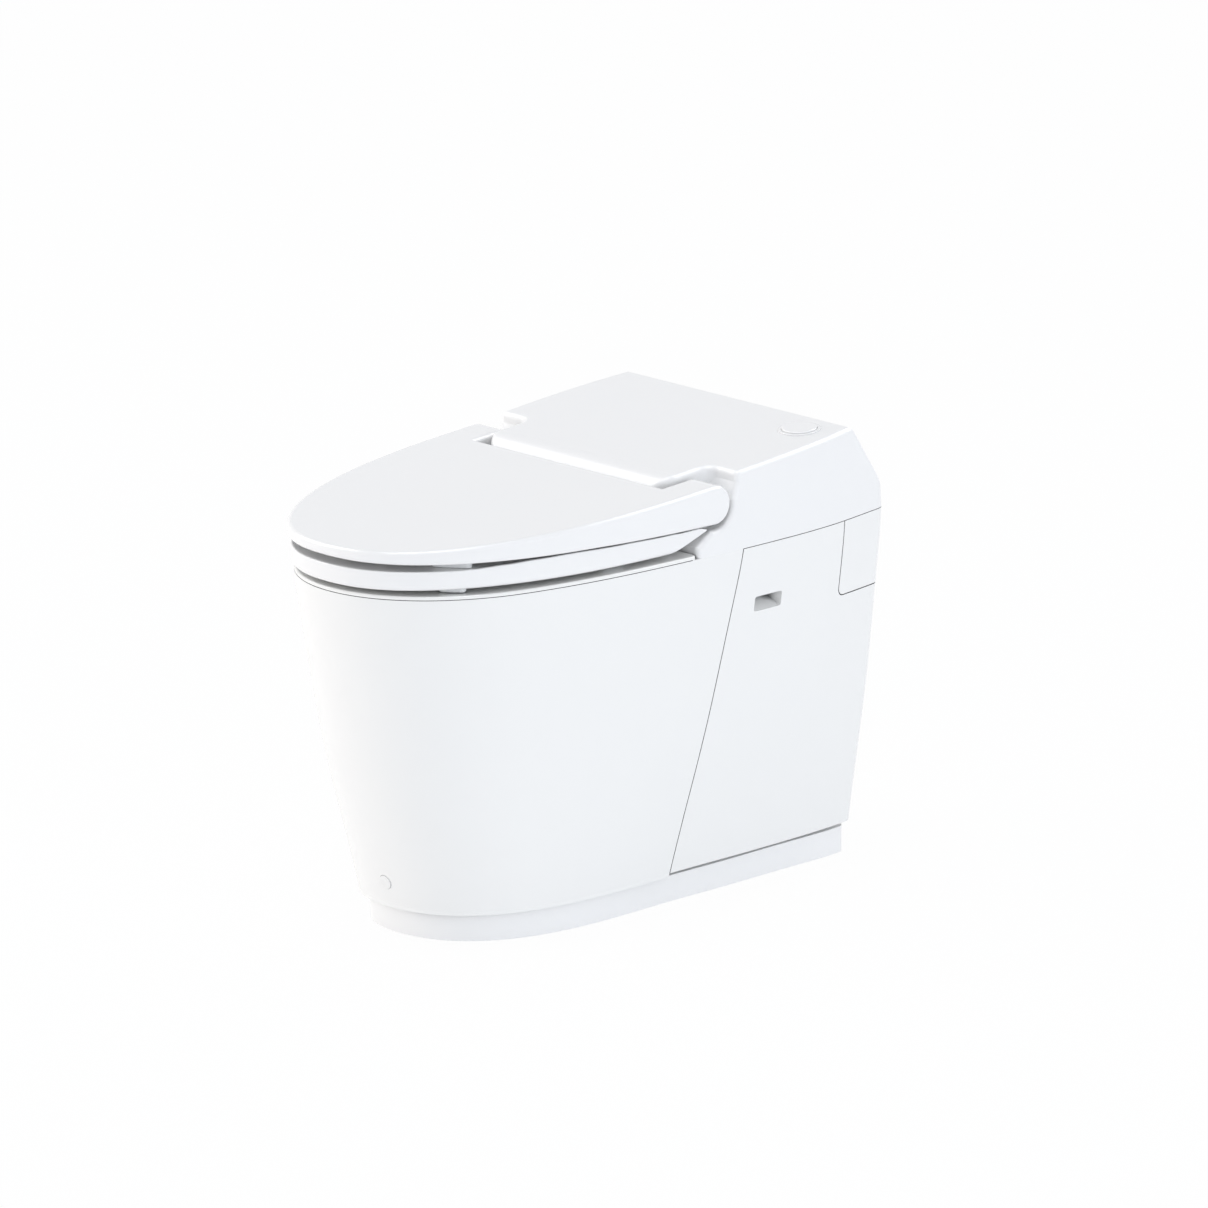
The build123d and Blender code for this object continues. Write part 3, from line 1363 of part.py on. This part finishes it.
# Check valve beside the tank and the discharge pipe that leaves through the rear panel
check_x = 86.0
check_chamber_radius = 18.0
check_chamber_wall = 4.0
check_low = 42.0
check_seat_z = (72.0, 80.0)
check_seat_hole = 11.0
check_upper_radius = 22.0
check_upper_wall = 4.0
check_top = 116.0
flap_radius = 12.5
flap_thick = 2.0
flap_pin_radius = 1.5
flap_pin_back = 12.0
flap_pin_rise = 4.0
flap_pin_half = 16.5
flap_lug_radius = 3.0
flap_lug_half = 7.0
flap_neck = 5.0
discharge_wall = 3.0
discharge_flange = 6.0
discharge_bend = 24.0
discharge_reach = 1.0
flap_pin_x = check_x - flap_pin_back
flap_pin_z = check_seat_z[1] + flap_pin_rise


def at_check(z, radius):
    return upright(check_x, outlet_y, z, radius)


def along_flap(half, radius):
    return lengthwise(flap_pin_x, (outlet_y - half, outlet_y + half), flap_pin_z, radius)


def make_valve_housing():
    housing = at_check((check_low, check_seat_z[1]), check_chamber_radius)
    housing += at_check((check_seat_z[0], check_top), check_upper_radius)
    housing -= at_check((check_low + check_chamber_wall, check_seat_z[0]), check_chamber_radius - check_chamber_wall)
    housing -= at_check((check_seat_z[0] - cut_over, check_seat_z[1] + cut_over), check_seat_hole)
    housing -= at_check((check_seat_z[1], check_top + cut_over), check_upper_radius - check_upper_wall)
    housing -= crosswise((tank_x[1], outlet_end_x + seat_gap), outlet_y, outlet_z, outlet_radius + slip_gap)
    housing -= crosswise((tank_x[1], check_x), outlet_y, outlet_z, outlet_bore)
    return housing - along_flap(flap_pin_half + seat_gap, flap_pin_radius)


def make_valve_flap():
    low = check_seat_z[1] + seat_gap
    flap = at_check((low, low + flap_thick), flap_radius)
    flap += span_box((flap_pin_x, check_x - flap_radius + flap_neck),
                     (outlet_y - flap_lug_half, outlet_y + flap_lug_half), (low, low + flap_thick + flap_thick))
    flap += along_flap(flap_lug_half, flap_lug_radius)
    return flap - along_flap(flap_pin_half, flap_pin_radius + slip_gap)


def make_discharge_pipe():
    up = check_top + discharge_flange
    corner = (check_x, outlet_y, discharge_z)
    path = FilletPolyline((check_x, outlet_y, up), corner, (check_x, rear_y - discharge_reach, discharge_z),
                          radius=discharge_bend)
    bore = discharge_radius - discharge_wall
    pipe = sweep(Pos(check_x, outlet_y, up) * Circle(discharge_radius), path)
    pipe += at_check((check_top, up), check_upper_radius)
    pipe -= sweep(Pos(check_x, outlet_y, up) * Circle(bore), path)
    return pipe - at_check((check_top - cut_over, up), bore)


save("valve_housing", make_valve_housing())
save("valve_flap", make_valve_flap())
save("valve_pin", along_flap(flap_pin_half, flap_pin_radius))
save("discharge_pipe", make_discharge_pipe())
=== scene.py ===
import bpy
import bmesh
import math
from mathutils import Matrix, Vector


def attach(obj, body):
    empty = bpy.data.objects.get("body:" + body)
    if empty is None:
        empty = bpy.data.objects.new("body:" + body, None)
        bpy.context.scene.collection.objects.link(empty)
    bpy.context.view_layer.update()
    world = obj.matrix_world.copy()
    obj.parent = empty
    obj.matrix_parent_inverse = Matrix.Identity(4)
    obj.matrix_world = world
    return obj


# Macerating toilet seen from its front right, on a plain white floor.
# The scene is in metres: the front points along -Y, the right side along +X.
# Sizes of surface patterns and of the seat's raised edge are in millimetres.

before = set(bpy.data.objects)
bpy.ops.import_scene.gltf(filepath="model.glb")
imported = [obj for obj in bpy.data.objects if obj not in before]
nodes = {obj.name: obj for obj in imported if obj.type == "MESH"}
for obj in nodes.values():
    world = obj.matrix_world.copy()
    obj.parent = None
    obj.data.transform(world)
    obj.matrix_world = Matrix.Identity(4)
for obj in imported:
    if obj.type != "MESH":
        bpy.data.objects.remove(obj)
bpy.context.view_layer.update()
scene = bpy.context.scene
print("frame loaded:", len(nodes), "nodes")


def inMetres(millimetres):
    return millimetres / 1000


# Camera

cameraView = {
    "aim": (0.0, 0.0794, 0.3062),
    "azimuth": 45.0,        # degrees from the front towards the right side
    "elevation": 15.3,
    "distance": 21.766,
    "lens": 600.0,          # a long lens, so that upright lines stay upright
    "sensor": 36.0,
    "farLimit": 100.0,
}


def makeCamera(values):
    turn = math.radians(values["azimuth"])
    rise = math.radians(values["elevation"])
    toCamera = Vector((math.sin(turn) * math.cos(rise), -math.cos(turn) * math.cos(rise), math.sin(rise)))
    data = bpy.data.cameras.new("productCamera")
    data.lens = values["lens"]
    data.sensor_width = values["sensor"]
    data.clip_end = values["farLimit"]
    camera = bpy.data.objects.new("productCamera", data)
    camera.location = Vector(values["aim"]) + toCamera * values["distance"]
    camera.rotation_euler = (-toCamera).to_track_quat("-Z", "Y").to_euler()
    scene.collection.objects.link(camera)
    scene.camera = camera


makeCamera(cameraView)
print("camera placed")


# What all the materials use

mixFactor = 0       # sockets of a Mix node that mixes two colours
mixFirst = 6
mixSecond = 7
mixResult = 2


def linearFromHex(text):
    values = [int(text[i:i + 2], 16) / 255 for i in (0, 2, 4)]
    return [v / 12.92 if v <= 0.04045 else ((v + 0.055) / 1.055) ** 2.4 for v in values] + [1.0]


def addNode(tree, kind, settings=None, links=None):
    # one node with its settings and its incoming links
    # a key is a socket's name or place, or else one of the node's own properties
    node = tree.nodes.new(kind)
    for key, value in (settings or {}).items():
        if isinstance(key, int) or key in node.inputs:
            node.inputs[key].default_value = value
        else:
            setattr(node, key, value)
    for key, source in (links or {}).items():
        tree.links.new(source[0].outputs[source[1]], node.inputs[key])
    return node


def startMaterial(name):
    material = bpy.data.materials.new(name)
    material.use_nodes = True
    tree = material.node_tree
    tree.nodes.clear()
    return material, tree


def patternScale(sizeInMillimetres):
    # repeats per metre for a pattern with features of that size
    return 1000.0 / sizeInMillimetres


def twoTonePattern(tree, place, size, detail, values):
    # soft blotches of two tones that lie close together; gives the pattern and the tone
    pattern = addNode(tree, "ShaderNodeTexNoise", {"Scale": patternScale(size), "Detail": detail},
                      {"Vector": place})
    tone = addNode(tree, "ShaderNodeMix", {"data_type": "RGBA", mixFirst: linearFromHex(values["shade"]),
                                           mixSecond: linearFromHex(values["color"])},
                   {mixFactor: (pattern, "Fac")})
    return pattern, tone


# limits of the painted shade that darkens joints, corners and recesses
paintedShadeLimits = {
    "closed": 0.14,     # openness at which the painted shade in a joint is at its darkest
    "open": 0.58,       # openness from which no shade is painted
    "samples": 8,
}


def paintedCreviceShade(tree, tone, values):
    # painted shade: darkens the colour in narrow joints, deep corners and recesses, where shade falls
    depth = addNode(tree, "ShaderNodeAmbientOcclusion", {"Distance": inMetres(values["paintedShadeReach"]),
                                                         "samples": paintedShadeLimits["samples"]})
    share = addNode(tree, "ShaderNodeMapRange", {"From Min": paintedShadeLimits["closed"],
                                                 "From Max": paintedShadeLimits["open"]},
                    {"Value": (depth, "AO")})
    return addNode(tree, "ShaderNodeMix", {"data_type": "RGBA",
                                           mixFirst: linearFromHex(values["paintedShadeColor"])},
                   {mixFactor: (share, "Result"), mixSecond: (tone, mixResult)})


# Moulded plastics

plasticSurface = {"cloudDetail": 2.0, "peelDetail": 3.0, "peelHeight": 0.1}


def mouldedPlastic(name, values):
    # injection or vacuum moulded plastic: an even tone, a faint orange peel and slightly uneven gloss
    material, tree = startMaterial(name)
    coords = addNode(tree, "ShaderNodeTexCoord")
    cloud, tone = twoTonePattern(tree, (coords, "Object"), values["cloud"],
                                 plasticSurface["cloudDetail"], values)
    gloss = addNode(tree, "ShaderNodeMapRange", {"To Min": values["roughness"] - values["spread"],
                                                 "To Max": values["roughness"] + values["spread"]},
                    {"Value": (cloud, "Fac")})
    peel = addNode(tree, "ShaderNodeTexNoise", {"Scale": patternScale(values["peel"]),
                                                "Detail": plasticSurface["peelDetail"]},
                   {"Vector": (coords, "Object")})
    bump = addNode(tree, "ShaderNodeBump", {"Strength": values["bump"],
                                            "Distance": inMetres(plasticSurface["peelHeight"])},
                   {"Height": (peel, "Fac")})
    # painted shade in joints and corners, for the plastics that have a shade colour
    if "paintedShadeColor" in values:
        tone = paintedCreviceShade(tree, tone, values)
    shader = addNode(tree, "ShaderNodeBsdfPrincipled", {"IOR": values["ior"]},
                     {"Base Color": (tone, mixResult), "Roughness": (gloss, "Result"),
                      "Normal": (bump, "Normal")})
    addNode(tree, "ShaderNodeOutputMaterial", links={"Surface": (shader, "BSDF")})
    return material


# vacuum formed and polished acrylic: a deep even white with a soft gloss; the dark colour in its joints and
# corners is painted shade
bodyAcrylic = {"color": "f1f1f0", "shade": "f0f0ef", "cloud": 180, "roughness": 0.2, "spread": 0.03,
               "peel": 2.5, "bump": 0.05, "ior": 1.49, "paintedShadeColor": "33363a", "paintedShadeReach": 14}
# moulded ABS: the same white, a touch duller; the dark colour in its joints is painted shade
coverAbs = {"color": "f1f1f1", "shade": "f0f0f0", "cloud": 150, "roughness": 0.3, "spread": 0.03,
            "peel": 1.6, "bump": 0.08, "ior": 1.53, "paintedShadeColor": "4a4d50", "paintedShadeReach": 6}
# pressed urea resin: hard, glossy and very even; the dark colour in its joints is painted shade
seatResin = {"color": "f2f2f2", "shade": "f0f0f0", "cloud": 220, "roughness": 0.16, "spread": 0.02,
             "peel": 3.5, "bump": 0.04, "ior": 1.55, "paintedShadeColor": "4a4c4f", "paintedShadeReach": 9}
# moulded polypropylene of the plinth: white and matt
plinthPlastic = {"color": "f5f5f5", "shade": "f3f3f3", "cloud": 90, "roughness": 0.4, "spread": 0.05,
                 "peel": 1.2, "bump": 0.12, "ior": 1.49}
# moulded polypropylene of the hidden supports: mid grey and matt, with a fine grain
greyPolypropylene = {"color": "8d9093", "shade": "85888b", "cloud": 60, "roughness": 0.45, "spread": 0.06,
                     "peel": 0.9, "bump": 0.2, "ior": 1.49}
# moulded polyethylene: a pale grey, dull and slightly uneven
tankPolyethylene = {"color": "c2c5c7", "shade": "b9bcbf", "cloud": 70, "roughness": 0.42, "spread": 0.06,
                    "peel": 1.4, "bump": 0.25, "ior": 1.51}
# moulded nylon in its own colour: off-white with a dull sheen
whiteNylon = {"color": "dcdbd4", "shade": "d3d2ca", "cloud": 40, "roughness": 0.38, "spread": 0.05,
              "peel": 0.8, "bump": 0.15, "ior": 1.53}
# moulded black nylon: nearly black and dull
blackNylon = {"color": "1d1e20", "shade": "161719", "cloud": 30, "roughness": 0.42, "spread": 0.06,
              "peel": 0.7, "bump": 0.2, "ior": 1.53}
# moulded polypropylene of the screw cap: white with a satin face
capPlastic = {"color": "efefee", "shade": "ededec", "cloud": 20, "roughness": 0.3, "spread": 0.03,
              "peel": 1.0, "bump": 0.08, "ior": 1.49}
# laminated glass epoxy of the circuit board: a slightly uneven green lacquer
circuitLaminate = {"color": "1f5c38", "shade": "194d2f", "cloud": 12, "roughness": 0.35, "spread": 0.05,
                   "peel": 0.6, "bump": 0.1, "ior": 1.55}


# Glazed ceramic

glazeSurface = {"cloudDetail": 1.0, "waveDetail": 1.0, "waveHeight": 0.2, "coatRoughness": 0.04}


def glazedCeramic(name, values):
    # fired glaze over a white body: a clear glossy coat with a slow waviness
    material, tree = startMaterial(name)
    coords = addNode(tree, "ShaderNodeTexCoord")
    _, tone = twoTonePattern(tree, (coords, "Object"), values["cloud"],
                             glazeSurface["cloudDetail"], values)
    wave = addNode(tree, "ShaderNodeTexNoise", {"Scale": patternScale(values["wave"]),
                                                "Detail": glazeSurface["waveDetail"]},
                   {"Vector": (coords, "Object")})
    bump = addNode(tree, "ShaderNodeBump", {"Strength": values["bump"],
                                            "Distance": inMetres(glazeSurface["waveHeight"])},
                   {"Height": (wave, "Fac")})
    # painted shade in the glaze's joints and hollows
    tone = paintedCreviceShade(tree, tone, values)
    shader = addNode(tree, "ShaderNodeBsdfPrincipled", {"IOR": values["ior"],
                                                        "Roughness": values["roughness"],
                                                        "Coat Weight": values["coat"],
                                                        "Coat Roughness": glazeSurface["coatRoughness"]},
                     {"Base Color": (tone, mixResult), "Normal": (bump, "Normal")})
    addNode(tree, "ShaderNodeOutputMaterial", links={"Surface": (shader, "BSDF")})
    return material


# glazed vitreous china of the bowl: a clean white under a hard clear gloss; the dark colour in its joints and
# hollows is painted shade
bowlCeramic = {"color": "f3f3f1", "shade": "f0f0ee", "cloud": 200, "wave": 25, "bump": 0.08, "ior": 1.52,
               "roughness": 0.12, "coat": 0.4, "paintedShadeColor": "3a3c3f", "paintedShadeReach": 7}


# Metals

metalSurface = {"grainDetail": 4.0, "grainHeight": 0.05}


def brushedMetal(name, values):
    # rolled or turned metal: fine lines of slightly different gloss along one direction
    material, tree = startMaterial(name)
    coords = addNode(tree, "ShaderNodeTexCoord")
    stretch = addNode(tree, "ShaderNodeMapping", {"Scale": values["stretch"]},
                      {"Vector": (coords, "Object")})
    grain, tone = twoTonePattern(tree, (stretch, "Vector"), values["grain"],
                                 metalSurface["grainDetail"], values)
    gloss = addNode(tree, "ShaderNodeMapRange", {"To Min": values["roughness"] - values["spread"],
                                                 "To Max": values["roughness"] + values["spread"]},
                    {"Value": (grain, "Fac")})
    bump = addNode(tree, "ShaderNodeBump", {"Strength": values["bump"],
                                            "Distance": inMetres(metalSurface["grainHeight"])},
                   {"Height": (grain, "Fac")})
    shader = addNode(tree, "ShaderNodeBsdfPrincipled", {"Metallic": values["metallic"]},
                     {"Base Color": (tone, mixResult), "Roughness": (gloss, "Result"),
                      "Normal": (bump, "Normal")})
    addNode(tree, "ShaderNodeOutputMaterial", links={"Surface": (shader, "BSDF")})
    return material


# drawn stainless steel of screws, pins and posts: bright, with lines made coarser than real so that they show
drawnSteel = {"color": "c4c6c8", "shade": "a9abae", "grain": 0.8, "stretch": (1, 1, 0.08),
              "roughness": 0.28, "spread": 0.07, "bump": 0.2, "metallic": 1.0}
# laminated sheet iron of the motor: dull and dark, with a line for each sheet
sheetIron = {"color": "6c6a68", "shade": "504e4c", "grain": 0.6, "stretch": (0.1, 0.1, 1),
             "roughness": 0.5, "spread": 0.1, "bump": 0.4, "metallic": 1.0}
# powder coat on the motor's steel can: dark grey and slightly pitted
paintedSteel = {"color": "3a3d40", "shade": "33363a", "grain": 1.2, "stretch": (1, 1, 1),
                "roughness": 0.45, "spread": 0.05, "bump": 0.3, "metallic": 0.0}


# Rubbers

rubberSurface = {"grainDetail": 5.0, "grainHeight": 0.1, "ior": 1.5}


def mouldedRubber(name, values):
    # moulded or extruded rubber: dull, with a powdery grain made coarser than real so that it shows
    material, tree = startMaterial(name)
    coords = addNode(tree, "ShaderNodeTexCoord")
    grain, tone = twoTonePattern(tree, (coords, "Object"), values["grain"],
                                 rubberSurface["grainDetail"], values)
    bump = addNode(tree, "ShaderNodeBump", {"Strength": values["bump"],
                                            "Distance": inMetres(rubberSurface["grainHeight"])},
                   {"Height": (grain, "Fac")})
    shader = addNode(tree, "ShaderNodeBsdfPrincipled", {"Roughness": values["roughness"],
                                                        "IOR": rubberSurface["ior"]},
                     {"Base Color": (tone, mixResult), "Normal": (bump, "Normal")})
    addNode(tree, "ShaderNodeOutputMaterial", links={"Surface": (shader, "BSDF")})
    return material


# moulded rubber of feet, mounts and seals: a dull black
blackRubber = {"color": "202122", "shade": "17181a", "grain": 0.5, "bump": 0.3, "roughness": 0.7}
# extruded rubber of the hose: dark grey with a little more sheen
hoseRubber = {"color": "45474a", "shade": "3a3c3f", "grain": 0.6, "bump": 0.3, "roughness": 0.55}
# moulded elastomer of the soft pads: nearly white, and dull
paleElastomer = {"color": "f3f4f4", "shade": "eeefef", "grain": 0.8, "bump": 0.15, "roughness": 0.45}


# The finish of each piece

finishMakers = {
    "acrylicPolished": (mouldedPlastic, bodyAcrylic),
    "absMoulded": (mouldedPlastic, coverAbs),
    "ureaPressed": (mouldedPlastic, seatResin),
    "polypropyleneMouldedWhite": (mouldedPlastic, plinthPlastic),
    "polypropyleneMouldedGrey": (mouldedPlastic, greyPolypropylene),
    "polyethyleneMoulded": (mouldedPlastic, tankPolyethylene),
    "nylonMouldedNatural": (mouldedPlastic, whiteNylon),
    "nylonMouldedBlack": (mouldedPlastic, blackNylon),
    "polypropyleneMouldedSatin": (mouldedPlastic, capPlastic),
    "glassEpoxyLaminated": (mouldedPlastic, circuitLaminate),
    "ceramicGlazed": (glazedCeramic, bowlCeramic),
    "stainlessDrawn": (brushedMetal, drawnSteel),
    "ironLaminated": (brushedMetal, sheetIron),
    "steelPowderCoated": (brushedMetal, paintedSteel),
    "rubberMoulded": (mouldedRubber, blackRubber),
    "rubberExtruded": (mouldedRubber, hoseRubber),
    "elastomerMoulded": (mouldedRubber, paleElastomer),
}
finishes = {name: make(name, values) for name, (make, values) in finishMakers.items()}
print("materials made:", len(finishes))

nodeFinishes = {
    "acrylicPolished": ("skirt", "right_side_panel", "left_side_panel", "right_corner_cover",
                        "left_corner_cover", "rear_panel"),
    "absMoulded": ("cover",),
    "ureaPressed": ("lid", "seat", "flush_button", "button_collar"),
    "ceramicGlazed": ("bowl",),
    "polypropyleneMouldedWhite": ("plinth",),
    "polypropyleneMouldedSatin": ("skirt_cap",),
    "elastomerMoulded": ("lid_pads", "seat_bumpers"),
    "polypropyleneMouldedGrey": ("deck", "panel_clips", "cable_gland", "hinge_bracket", "seat_damper",
                                 "lid_damper", "flush_nozzle", "control_box", "control_lid",
                                 "discharge_pipe"),
    "polyethyleneMoulded": ("tank", "tank_lid"),
    "nylonMouldedNatural": ("solenoid_valve", "pump_housing", "impeller", "pressure_tube",
                            "valve_housing"),
    "nylonMouldedBlack": ("solenoid_coil", "button_switch", "level_switch"),
    "glassEpoxyLaminated": ("circuit_board",),
    "stainlessDrawn": ("skirt_screw", "front_bracket", "deck_posts", "cover_screws", "hinge_screws",
                       "hinge_pins", "solenoid_plunger", "tank_screws", "basket", "cutter_disc",
                       "motor_shaft", "bearings", "valve_pin"),
    "ironLaminated": ("stator", "rotor"),
    "steelPowderCoated": ("motor_housing", "motor_cap"),
    "rubberMoulded": ("rubber_feet", "tank_mounts", "inlet_sleeve", "shaft_seal", "valve_flap"),
    "rubberExtruded": ("feed_hose",),
}
for finishName, nodeNames in nodeFinishes.items():
    for nodeName in nodeNames:
        piece = nodes[nodeName]
        if not piece.material_slots:
            piece.data.materials.append(finishes[finishName])
        for materialSlot in piece.material_slots:
            materialSlot.material = finishes[finishName]
missing = set(nodes) - {name for names in nodeFinishes.values() for name in names}
print("materials assigned; without one:", sorted(missing))


# Raised edge of the seat, which rises towards the lid along both sides

seatEdge = {
    "halfWidth": 183.0,     # outline of the seat as a rounded curve, from its tip at the front
    "tipY": -340.0,
    "depth": 371.6,
    "power": 2.25,
    "startY": -290.0,
    "endY": 28.0,
    "step": 3.0,
    "low": 430.4,           # where the edge meets the seat, above the floor
    "leastRise": 0.1,
    "proud": 0.12,
    "probe": 0.5,           # how far to each side the outline's direction is taken
    "sharpAngle": 50.0,     # degrees from which a fold is drawn sharp
    # place from front to rear, and height above the floor
    "heights": ((-290, 430.9), (-250, 432.9), (-215, 434.6), (-180, 436.0), (-137, 436.7), (-70, 435.3),
                (0, 433.5), (28, 431.3)),
    # inwards from the edge, and down from the top
    "section": ((0.0, -1.3), (0.15, -0.75), (0.5, -0.3), (1.2, -0.05), (2.2, 0.0), (5.0, -0.1),
                (8.5, -0.9), (12.0, -2.4)),
}


def seatEdgeX(y, values):
    share = min(1.0, max(0.0, (values["tipY"] + values["depth"] - y) / values["depth"]))
    ahead = share ** (values["power"] / 2)
    return values["halfWidth"] * math.sqrt(1 - ahead ** 2) ** (2 / values["power"])


def heightAt(y, heights):
    for (firstY, firstZ), (lastY, lastZ) in zip(heights, heights[1:]):
        if y <= lastY:
            share = (y - firstY) / (lastY - firstY)
            return firstZ + (lastZ - firstZ) * share * share * (3 - 2 * share)
    return heights[-1][1]


def seatEdgeSection(y, values):
    # one closed section as distances inwards and heights above the floor
    top = heightAt(y, values["heights"])
    lowest = values["low"] + values["leastRise"]
    section = [(-values["proud"], values["low"])]
    section += [(depth - values["proud"], max(lowest, top + drop)) for depth, drop in values["section"]]
    section.append((values["section"][-1][0], values["low"]))
    return section


def makeSeatEdge(name, side, values):
    count = round((values["endY"] - values["startY"]) / values["step"])
    probe = values["probe"]
    points, faces = [], []
    for index in range(count + 1):
        y = values["startY"] + values["step"] * index
        x = seatEdgeX(y, values)
        turn = seatEdgeX(y + probe, values) - seatEdgeX(y - probe, values)
        along = Vector((turn, 2 * probe)).normalized()
        inward = Vector((-along.y, along.x))
        section = seatEdgeSection(y, values)
        points += [(inMetres(side * (x + inward.x * depth)), inMetres(y + inward.y * depth), inMetres(z))
                   for depth, z in section]
    width = len(points) // (count + 1)
    for index in range(count):
        for row in range(width):
            first, second = index * width + row, index * width + (row + 1) % width
            faces.append((first, second, second + width, first + width))
    faces.append(tuple(range(width)))
    faces.append(tuple(range(count * width, (count + 1) * width)))
    mesh = bpy.data.meshes.new(name)
    mesh.from_pydata(points, [], faces)
    shape = bmesh.new()
    shape.from_mesh(mesh)
    bmesh.ops.recalc_face_normals(shape, faces=shape.faces)
    shape.to_mesh(mesh)
    shape.free()
    mesh.shade_smooth()
    mesh.set_sharp_from_angle(angle=math.radians(values["sharpAngle"]))
    mesh.materials.append(finishes["ureaPressed"])
    edge = bpy.data.objects.new(name, mesh)
    scene.collection.objects.link(edge)
    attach(edge, "seat")


makeSeatEdge("seatEdgeRight", 1, seatEdge)
makeSeatEdge("seatEdgeLeft", -1, seatEdge)
print("seat edges made")


# Floor, surroundings and lamps

studio = {
    "backdropColor": "ffffff",    # what the camera sees behind the object and on the floor
    "backdropLight": 1.0,
    "worldLight": 0.85,           # even light from all round
    "worldColor": "f6f8fc",
    "paperColor": "fbfbfb",
    "floorSize": 30.0,
    "floorDrop": 0.0005,          # keeps the floor just clear of the feet
    "floorShadow": 0.05,          # how much of the floor's own shading shows in the picture
    "lampAim": (0, 0, 0.25),
    # a lamp without gloss makes no highlight, and one without diffuse light makes only a highlight
    "lamps": {
        "leftSoftbox": {"at": (-3.7, -3.2, 0.7), "size": 3.0, "power": 107, "color": "fff7ee",
                        "gloss": False},
        "rightSoftbox": {"at": (4.2, -0.2, 0.6), "size": 2.2, "power": 43, "color": "eef6ff",
                         "gloss": False},
        "topSoftbox": {"at": (0.0, 0.1, 3.6), "size": 2.4, "power": 10, "color": "ffffff"},
        "bandHighlight": {"at": (-2.7, -1.1, 2.95), "size": 2.6, "power": 85, "color": "ffffff",
                          "diffuse": False},
        "ridgeHighlight": {"at": (0.9, 2.8, 2.95), "size": 2.6, "power": 85, "color": "ffffff",
                           "diffuse": False},
        "noseHighlight": {"at": (0.7, -0.8, 4.0), "size": 2.6, "power": 85, "color": "ffffff",
                          "diffuse": False},
    },
}


def makeWorld(values):
    world = bpy.data.worlds.new("studioWorld")
    world.use_nodes = True
    tree = world.node_tree
    tree.nodes.clear()
    rays = addNode(tree, "ShaderNodeLightPath")
    seen = addNode(tree, "ShaderNodeMath", {"operation": "MAXIMUM"},
                   {0: (rays, "Is Camera Ray"), 1: (rays, "Is Transmission Ray")})
    seen = addNode(tree, "ShaderNodeMath", {"operation": "MAXIMUM"},
                   {0: (seen, 0), 1: (rays, "Is Glossy Ray")})
    light = addNode(tree, "ShaderNodeBackground", {"Color": linearFromHex(values["worldColor"]),
                                                   "Strength": values["worldLight"]})
    white = addNode(tree, "ShaderNodeBackground", {"Color": linearFromHex(values["backdropColor"]),
                                                   "Strength": values["backdropLight"]})
    mix = addNode(tree, "ShaderNodeMixShader", links={0: (seen, 0), 1: (light, 0), 2: (white, 0)})
    addNode(tree, "ShaderNodeOutputWorld", links={"Surface": (mix, 0)})
    scene.world = world


def makeFloor(values):
    # matt paper, which the camera sees as plain white with a little of its own shading
    material, tree = startMaterial("paperMatt")
    rays = addNode(tree, "ShaderNodeLightPath")
    paper = addNode(tree, "ShaderNodeBsdfDiffuse", {"Color": linearFromHex(values["paperColor"])})
    white = addNode(tree, "ShaderNodeEmission", {"Color": linearFromHex(values["backdropColor"]),
                                                 "Strength": values["backdropLight"]})
    seen = addNode(tree, "ShaderNodeMath", {"operation": "MAXIMUM"},
                   {0: (rays, "Is Camera Ray"), 1: (rays, "Is Glossy Ray")})
    share = addNode(tree, "ShaderNodeMath", {"operation": "MULTIPLY", 1: 1.0 - values["floorShadow"]},
                    {0: (seen, 0)})
    mix = addNode(tree, "ShaderNodeMixShader", links={0: (share, 0), 1: (paper, 0), 2: (white, 0)})
    addNode(tree, "ShaderNodeOutputMaterial", links={"Surface": (mix, 0)})
    half = values["floorSize"] / 2
    corners = [(-half, -half, 0), (half, -half, 0), (half, half, 0), (-half, half, 0)]
    mesh = bpy.data.meshes.new("studioFloor")
    mesh.from_pydata(corners, [], [(0, 1, 2, 3)])
    floor = bpy.data.objects.new("studioFloor", mesh)
    floor.location.z = -values["floorDrop"]
    mesh.materials.append(material)
    scene.collection.objects.link(floor)


def makeLamps(values):
    aim = Vector(values["lampAim"])
    for name, lamp in values["lamps"].items():
        data = bpy.data.lights.new(name, "AREA")
        data.size = lamp["size"]
        data.energy = lamp["power"]
        data.color = linearFromHex(lamp["color"])[:3]
        holder = bpy.data.objects.new(name, data)
        holder.location = lamp["at"]
        holder.rotation_euler = (aim - Vector(lamp["at"])).to_track_quat("-Z", "Y").to_euler()
        holder.visible_diffuse = lamp.get("diffuse", True)
        holder.visible_glossy = lamp.get("gloss", True)
        scene.collection.objects.link(holder)


makeWorld(studio)
makeFloor(studio)
makeLamps(studio)
scene.view_settings.view_transform = "Standard"
print("studio set up")
